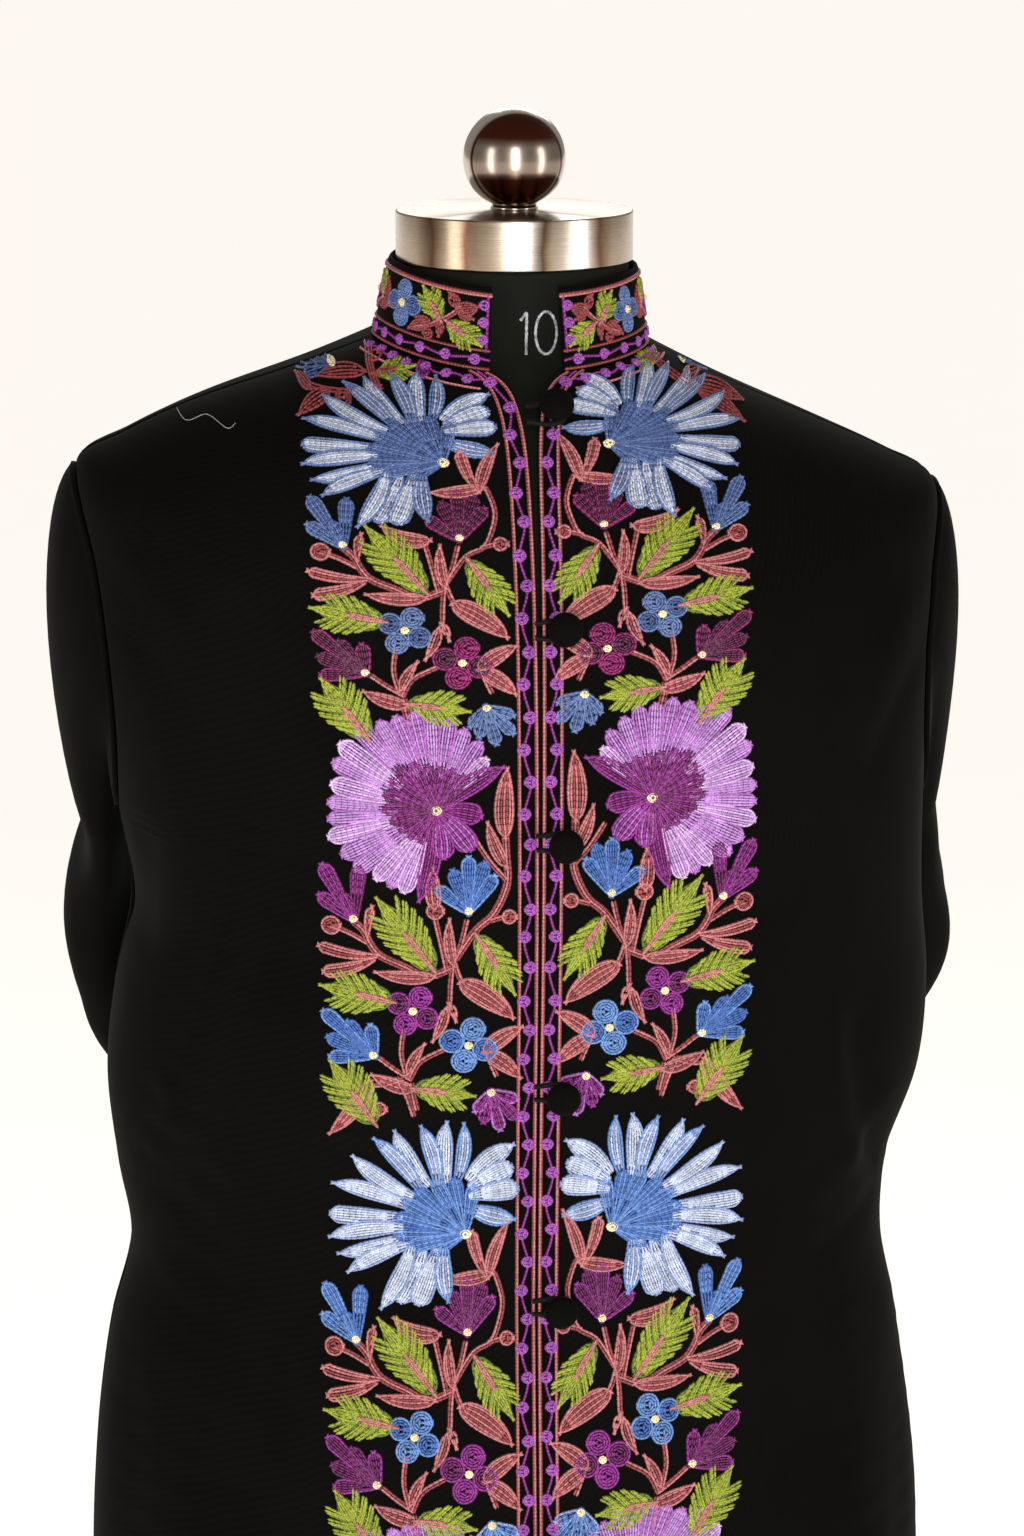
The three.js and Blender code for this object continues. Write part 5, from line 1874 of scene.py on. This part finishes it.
class JACKET_OT_stand(Operator):
    """Makes the neck cap, ball, pole and base"""

    bl_idname = "jacket.stand"
    bl_label = "Stand"

    def execute(self, context):
        # Painted reflections of the studio: the cap's stripes, pale in the middle as a painted
        # highlight of the front softbox; the ball's light belt between deep top and bottom, with a
        # pale edge ring.
        reflected_tan, reflected_brown, pale = (0.46, 0.36, 0.26), (0.12, 0.06, 0.032), (0.68, 0.62, 0.55)
        painted_cap_reflection = [(0.0, pale), (0.17, reflected_tan), (0.235, reflected_brown), (0.285, reflected_tan), (0.345, reflected_brown),
                (0.41, reflected_tan), (0.5, pale),
                (0.545, reflected_brown), (0.575, reflected_tan), (0.66, pale), (0.725, shade(reflected_brown, 1.5)),
                (0.77, reflected_tan), (1.0, pale)]
        reflected_red = (0.10, 0.026, 0.014)
        dark = [(0.0, shade(reflected_red, 0.6)), (0.24, reflected_red), (0.29, (0.3, 0.23, 0.18)),
                (0.46, (0.36, 0.3, 0.25)), (0.52, reflected_red),
                (0.68, shade(reflected_red, 0.7)), (0.8, (0.5, 0.43, 0.36)), (1.0, (0.66, 0.6, 0.53))]
        brushed = finish_of("brushed steel",
                            lambda: steel_finish("brushed steel", painted_cap_reflection, 0.26, True))
        polished = finish_of("polished steel",
                             lambda: steel_finish("polished steel", dark, 0.2, False))
        painted = finish_of("black powder coat", lambda: painted_finish((0.02, 0.02, 0.022)))
        low = NECK_TOP + SEAM
        cap = rounded([(0, low), (CAP_RADIUS, low), (CAP_RADIUS, CAP_TOP), (0, CAP_TOP)], 1.2)
        start = math.asin(STEM_RADIUS / BALL_RADIUS)
        foot = CAP_TOP + SEAM
        ball = [(0, foot), (STEM_RADIUS + 1.5, foot), (STEM_RADIUS + 1.5, foot + 0.8),
                (STEM_RADIUS, foot + 1.4)]
        for angle in np.linspace(start, math.pi, 40):
            ball.append((max(BALL_RADIUS * math.sin(angle), 0.0),
                         BALL_CENTRE - BALL_RADIUS * math.cos(angle)))
        ball[-1] = (0, BALL_CENTRE + BALL_RADIUS)
        top, bottom = FORM_BOTTOM - SEAM, HUB_TOP + SEAM
        pole = rounded([(0, bottom), (POLE_RADIUS, bottom), (POLE_RADIUS, top - COLLET_HEIGHT),
                        (COLLET_RADIUS, top - COLLET_HEIGHT / 2), (COLLET_RADIUS, top), (0, top)],
                        1.5)
        base = rounded([(0, 0), (BASE_RADIUS, 0), (BASE_RADIUS, BASE_EDGE),
                        (HUB_RADIUS + 14, BASE_EDGE + 8),
                        (HUB_RADIUS, BASE_EDGE + 16), (HUB_RADIUS, HUB_TOP), (0, HUB_TOP)], 3.0)
        for name, profile, segments, material, slot in (
                ("neck_cap", cap, 160, brushed, "steel"),
                ("finial", ball, 72, polished, "polished_steel"),
                ("pole", pole, 72, brushed, "steel"),
                ("base", base, 160, painted, "painted_base")):
            obj = turned_mesh(f"{name}_turned", profile, segments, material)
            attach(obj, "root")
            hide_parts(name)
        return {"FINISHED"}


def needlework(context, name, laid, **sizes):
    obj = stitched(name, laid, context.scene.jacket, thread_material(), **sizes)
    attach(obj, "root")
    return obj


class JACKET_OT_embroidery(Operator):
    """Works the two bands of flowers on the fronts"""

    bl_idname = "jacket.embroidery"
    bl_label = "Flower bands"

    def execute(self, context):
        tree = surface_tree([MADE["front_right"], MADE["front_left"]])
        for side, table, mirror, extra in (("right", RIGHT_BAND, False, neck_sprig(False)),
                                         ("left", LEFT_BAND, True, neck_sprig(True))):
            laid = laid_on_front(band(table, mirror), tree)
            laid += laid_on_front(extra, tree, by_height=True)
            heights = [part[len(part) // 2][0][2] for part, _ in laid]
            for k, (high, low) in enumerate(((2000, 1090), (1090, 840), (840, 0)), 1):
                some = [item for item,
                        z in zip(laid, heights) if low <= z < high and item[1] != "cream"]
                needlework(context, f"embroidery_{side}_{k}", some)
            centres = [item for item in laid if item[1] == "cream"]
            needlework(context, f"flower_centres_{side}", centres, length=0.0012, width=0.0012)
        return {"FINISHED"}


def edge_line(distance, left, wave=0.0, pitch=BEAD_PITCH, lift=0.0):
    """A line down a front at a distance from its edge, straight or in a gentle wave."""
    part = []
    walked, before = 0.0, None
    for v in np.linspace(0.0, HEM - ABOVE_HEM, 420):
        away = distance + wave * math.sin(2 * math.pi * walked / pitch)
        points, normals = cloth_row(np.array([front_place(away, v, left)]), v)
        if before is not None:
            walked += float(np.linalg.norm(points[0] - before))
        before = points[0]
        part.append((Vector(points[0] + normals[0] * (STITCH_LIE + lift)), Vector(normals[0])))
    return part


def neck_line(distance, left, wave=0.0):
    """A line on a front, a distance below the collar seam, from its edge to near the shoulder."""
    part = []
    start = (front_gap(0) + 3.0) / quarter_length(0, left, True)
    for k, share in enumerate(np.linspace(start, 0.86, 90)):
        u = np.array([share if left else 4 - share])
        fall = float(np.linalg.norm(skin(u, 0.25) - skin(u, 0))) / 0.25
        v = (distance + wave * math.sin(k / 3.2)) / fall
        points, normals = cloth_row(u, v)
        part.append((Vector(points[0] + normals[0] * STITCH_LIE), Vector(normals[0])))
    return part


def bead_ring(centre, normal, radius):
    """A ring of stitches on the cloth round a centre."""
    normal = Vector(normal)
    across = normal.cross(Vector((0, 0, 1))).normalized()
    up = across.cross(normal)
    ring = []
    for k in range(13):
        angle = 2 * math.pi * k / 12
        ring.append((Vector(centre) + (across * math.cos(angle) + up * math.sin(angle)) * radius,
                     normal))
    return ring


def beads_along(part, pitch, radius, thread):
    """Small round stitched beads spaced along a line."""
    laid = []
    walked = pitch / 2
    for (before, _), (point, normal) in zip(part, part[1:]):
        walked += (point - before).length
        if walked >= pitch:
            walked -= pitch
            for reach, lift in ((radius - 0.6, 0.2), (radius - 1.4, 0.7), (radius - 2.3, 1.0)):
                if reach > 0.3:
                    laid.append((bead_ring(point + normal * lift, normal, reach), thread))
    return laid


class JACKET_OT_edges(Operator):
    """Works the bead rows and their two lines down the front edges and round the neck seam"""

    bl_idname = "jacket.edges"
    bl_label = "Edge rows"

    def execute(self, context):
        laid = []
        for left in (False, True):
            for distance in (0.3, 8.4):
                # Each line is a rose row beside a rust row; the rose is partly a painted
                # highlight.
                laid.append((edge_line(distance, left), "rose"))
                laid.append((edge_line(distance + 0.5, left, lift=-0.1), "rust"))
            laid.append((neck_line(8.6, left), "rose"))
            beside = neck_line(4.2, left, wave=0.9)
            laid.append((beside, "violet"))
            laid += beads_along(beside, 12.0, 2.7, "bead")
            middle = edge_line(4.8, left, wave=1.5, pitch=2 * BEAD_PITCH)
            laid.append((middle, "violet"))
            laid += beads_along(middle, BEAD_PITCH, 3.1, "bead")
        needlework(context, "edge_rows", laid, width=0.0012, length=0.0019)
        return {"FINISHED"}


def on_collar(distance, height, left):
    """A point and normal of the collar, from its front edge and up from its seam."""
    u = (front_gap(0) + distance) / quarter_length(0, left, True)
    us = np.array([u if left else 4 - u])
    t = height / COLLAR_HEIGHT
    point = collar_point(us, t)[0]
    level = (collar_point(us + 0.01, t) - collar_point(us - 0.01, t))[0]
    normal = np.array([level[1], -level[0], 0.0])
    normal /= np.linalg.norm(normal)
    return Vector(point), Vector(normal)


def collar_motif():
    """The sprays of one side of the collar, as (distance from the front edge, height)."""
    lines = four_petals((45, 24.5), 12.0, 88, "slate_mid", "slate_mid", "slate_deep")
    lines += stem([(13, 30), (19, 24), (27, 18), (35, 14.5)], 3.0)
    lines += stem([(19, 24), (24, 21), (27, 24)], 2.6)
    for base, tip, width in (((15, 29), (5.5, 32), 7.6), ((15, 30), (19, 36.5), 6.2),
                             ((14, 28), (7.5, 25.5), 5.0),
                             ((28, 18), (38, 13.5), 6.6), ((26, 18), (35, 20), 5.2),
                             ((21, 21), (22, 14), 4.6),
                             ((58, 20), (62, 33), 6.0), ((58, 20), (66, 18), 6.0)):
        lines += petal(base, tip, width, "rust", "rust", BUD, 0.05, 0.1)
    lines += lobe((27.5, 13.6), 3.0, "rust", "rust", 0.1)
    lines += leaf((22, 22.5), (33, 36), 13)
    lines += leaf((18.5, 22), (3.5, 13), 12.5)
    lines += stem([(50, 22), (58, 20), (66, 22), (76, 16)], 2.6)
    lines += leaf((64, 24), (73, 35), 11)
    lines += four_petals((84, 24), 10.0, 80, "violet", "violet", "plum")
    return lines


class JACKET_OT_collar_work(Operator):
    """Works the sprays and rows round the stand collar"""

    bl_idname = "jacket.collar_work"
    bl_label = "Collar embroidery"

    def execute(self, context):
        laid = []
        for left in (False, True):
            lines = collar_motif()
            motif_lines = len(lines)
            end = 2 * quarter_length(0, left, True) - front_gap(0)
            reach = np.linspace(0.8, end - 0.4, 170)
            lines += line(np.stack([reach, np.full_like(reach, 38.6)], -1), "rust")
            lines += line(np.stack([reach, np.full_like(reach, 37.7)], -1), "rose")
            lines += line(np.stack([reach, np.full_like(reach, 10.6)], -1), "rust")
            lines += line(np.stack([reach, np.full_like(reach, 1.6)], -1), "rust")
            lines += line(np.stack([reach,
                                    6.0 + 0.8 * np.sin(reach / (2 * BEAD_PITCH) * 2 * math.pi)],
                                    -1), "violet")
            lines += line(np.stack([np.full(12, 1.6), np.linspace(11, 37, 12)], -1), "violet")
            for place in np.arange(7.0, end - 4, BEAD_PITCH):
                lines += lobe((place, 6.0), 2.9, "bead", "bead", 0.3, 1.1)
            for place in (16.0, 24.5, 33.0):
                lines += lobe((3.4, place), 2.8, "bead", "bead", 0.3, 1.1)
            for k, (points, thread, lift) in enumerate(lines):
                part = []
                if not left and k < motif_lines:
                    points = points * (1.25, 1.0)
                for distance, height in resampled(points, LINE_STEP):
                    if distance > 0.4 and 0.6 < height < 40.5:
                        point, normal = on_collar(distance, height, left)
                        part.append((point + normal * (STITCH_LIE + lift), normal))
                if len(part) > 2:
                    laid.append((part, thread))
        needlework(context, "collar_embroidery", laid, length=0.002)
        return {"FINISHED"}


STRAY_THREAD = ((-180, 1314), (-168, 1316.5), (-160, 1312), (-150, 1315), (-141, 1311),
                (-137, 1313))


class JACKET_OT_stray_thread(Operator):
    """Leaves one stray pale thread on the right shoulder"""

    bl_idname = "jacket.stray_thread"
    bl_label = "Stray thread"

    def execute(self, context):
        tree = surface_tree([MADE["front_right"]])
        path = curve_through(STRAY_THREAD, 60)
        points = []
        for x, z in path:
            hit = front_hit(tree, x, z)
            if hit is not None:
                points.append(np.array(hit[0] + hit[1] * 0.45))
        lint = finish_of("stray thread", lambda: cord_finish((0.22, 0.21, 0.19), "stray thread"))
        obj = tube("stray_thread", points, 0.22, 6, 0.0, lint)
        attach(obj, "root")
        return {"FINISHED"}


def hem_row(grid, inset):
    """The row of a grid of cloth that lies a little up from its bottom edge."""
    rows, columns = grid.shape[:2]
    down = np.linalg.norm(np.diff(grid[:, columns // 2], axis=0), axis=1)
    back = np.searchsorted(np.cumsum(down[::-1]), inset)
    return grid[rows - 1 - max(back, 1)]


class JACKET_OT_seams(Operator):
    """Sews the hem with a fine row of black stitches"""

    bl_idname = "jacket.seams"
    bl_label = "Hem stitching"

    def execute(self, context):
        laid = []
        black = (0.004, 0.004, 0.0045)
        for name in ("front_right", "front_left", "back"):
            points = hem_row(MADE[name], HEM_STITCHING)[2:-2]
            part = []
            for p in points:
                out = Vector((p[0], p[1] * 1.6, 0)).normalized()
                part.append((Vector(p) + out * 0.15, out))
            laid.append((part, black))
        for name in ("sleeve_right", "sleeve_left"):
            grid = MADE[name]
            row = grid[-5]
            middle = row.mean(axis=0)
            axis = Vector(grid[-1].mean(axis=0) - grid[-8].mean(axis=0)).normalized()
            part = []
            for p in np.concatenate([row, row[:1]]):
                out = Vector(p - middle)
                out = (out - axis * out.dot(axis)).normalized()
                part.append((Vector(p) + out * 0.1, out))
            laid.append((part, black))
        needlework(context, "hem_stitching", laid, width=0.0006, height=0.0003, length=0.0032)
        return {"FINISHED"}


class JACKET_OT_stage(Operator):
    """Sets the camera, the pale floor and the soft studio light"""

    bl_idname = "jacket.stage"
    bl_label = "Stage"

    def execute(self, context):
        scene = context.scene
        stage = scene.jacket.stage
        camera = bpy.data.cameras.new("Camera")
        camera.lens = 93.75
        camera.sensor_width = 36
        seat = bpy.data.objects.new("Camera", camera)
        scene.collection.objects.link(seat)
        seat.location = (-0.1703, -1.9348, 1.6071)
        seat.rotation_euler = Vector((0.0846, 0.9674, -0.2385)).to_track_quat("-Z", "Y").to_euler()
        camera.clip_end = 60
        scene.camera = seat
        scene.view_settings.view_transform = "Standard"

        half = 14.0
        mesh = bpy.data.meshes.new("floor")
        mesh.from_pydata([(-half, -half, 0), (half, -half, 0), (half, half * 3, 0),
                          (-half, half * 3, 0)], [],
                         [(0, 1, 2, 3)])
        mesh.materials.append(floor_finish())
        new_object("floor", mesh)

        world = bpy.data.worlds.new("Studio")
        world.use_nodes = True
        world.node_tree.nodes["Background"].inputs["Color"].default_value = (1.0, 0.93, 0.86, 1)
        world.node_tree.nodes["Background"].inputs["Strength"].default_value = 0.3
        scene.world = world

        aim = Vector((0, 0, 1.1))
        for name, place, power, width, height in (
                ("Front softbox", (-0.1, -2.7, 1.5), stage.key, 0.5, 2.2),
                ("Left softbox", (2.2, -1.3, 1.3), stage.side, 0.5, 2.2),
                ("Right softbox", (-2.2, -1.3, 1.3), stage.side, 0.5, 2.2),
                ("Back softbox", (0.4, 2.6, 2.6), stage.side, 1.6, 1.2)):
            light = bpy.data.lights.new(name, "AREA")
            light.shape = "RECTANGLE"
            light.size, light.size_y = width, height
            light.energy = power
            lamp = bpy.data.objects.new(name, light)
            scene.collection.objects.link(lamp)
            lamp.location = place
            lamp.rotation_euler = (aim - Vector(place)).to_track_quat("-Z", "Y").to_euler()
        return {"FINISHED"}


class JacketSettings(PropertyGroup):
    """All that a user would change."""

    threads: PointerProperty(type=ThreadColours)
    stitch: PointerProperty(type=StitchSizes)
    finish: PointerProperty(type=GarmentFinish)
    stage: PointerProperty(type=StageSettings)


STEPS = (
    JACKET_OT_stage, JACKET_OT_fronts, JACKET_OT_back, JACKET_OT_sleeves, JACKET_OT_collar,
    JACKET_OT_buttons,
    JACKET_OT_loops, JACKET_OT_form, JACKET_OT_number, JACKET_OT_stand, JACKET_OT_embroidery,
    JACKET_OT_edges,
    JACKET_OT_collar_work, JACKET_OT_stray_thread, JACKET_OT_seams,
)


class JACKET_PT_panel(Panel):
    """The jacket's settings and the steps that build it"""

    bl_idname = "JACKET_PT_panel"
    bl_label = "Embroidered jacket"
    bl_space_type = "VIEW_3D"
    bl_region_type = "UI"
    bl_category = "Jacket"

    def draw(self, context):
        settings = context.scene.jacket
        for group in (settings.threads, settings.stitch, settings.finish, settings.stage):
            box = self.layout.box()
            for key in type(group).__annotations__:
                box.prop(group, key)
        for step in STEPS:
            self.layout.operator(step.bl_idname)


CLASSES = (ThreadColours, StitchSizes, GarmentFinish, StageSettings, JacketSettings, *STEPS,
           JACKET_PT_panel)


def register():
    for cls in CLASSES:
        bpy.utils.register_class(cls)
    bpy.types.Scene.jacket = PointerProperty(type=JacketSettings)


def unregister():
    del bpy.types.Scene.jacket
    for cls in reversed(CLASSES):
        bpy.utils.unregister_class(cls)


def main():
    register()
    for step in STEPS:
        group, name = step.bl_idname.split(".")
        getattr(getattr(bpy.ops, group), name)()


if __name__ == "__main__":
    main()
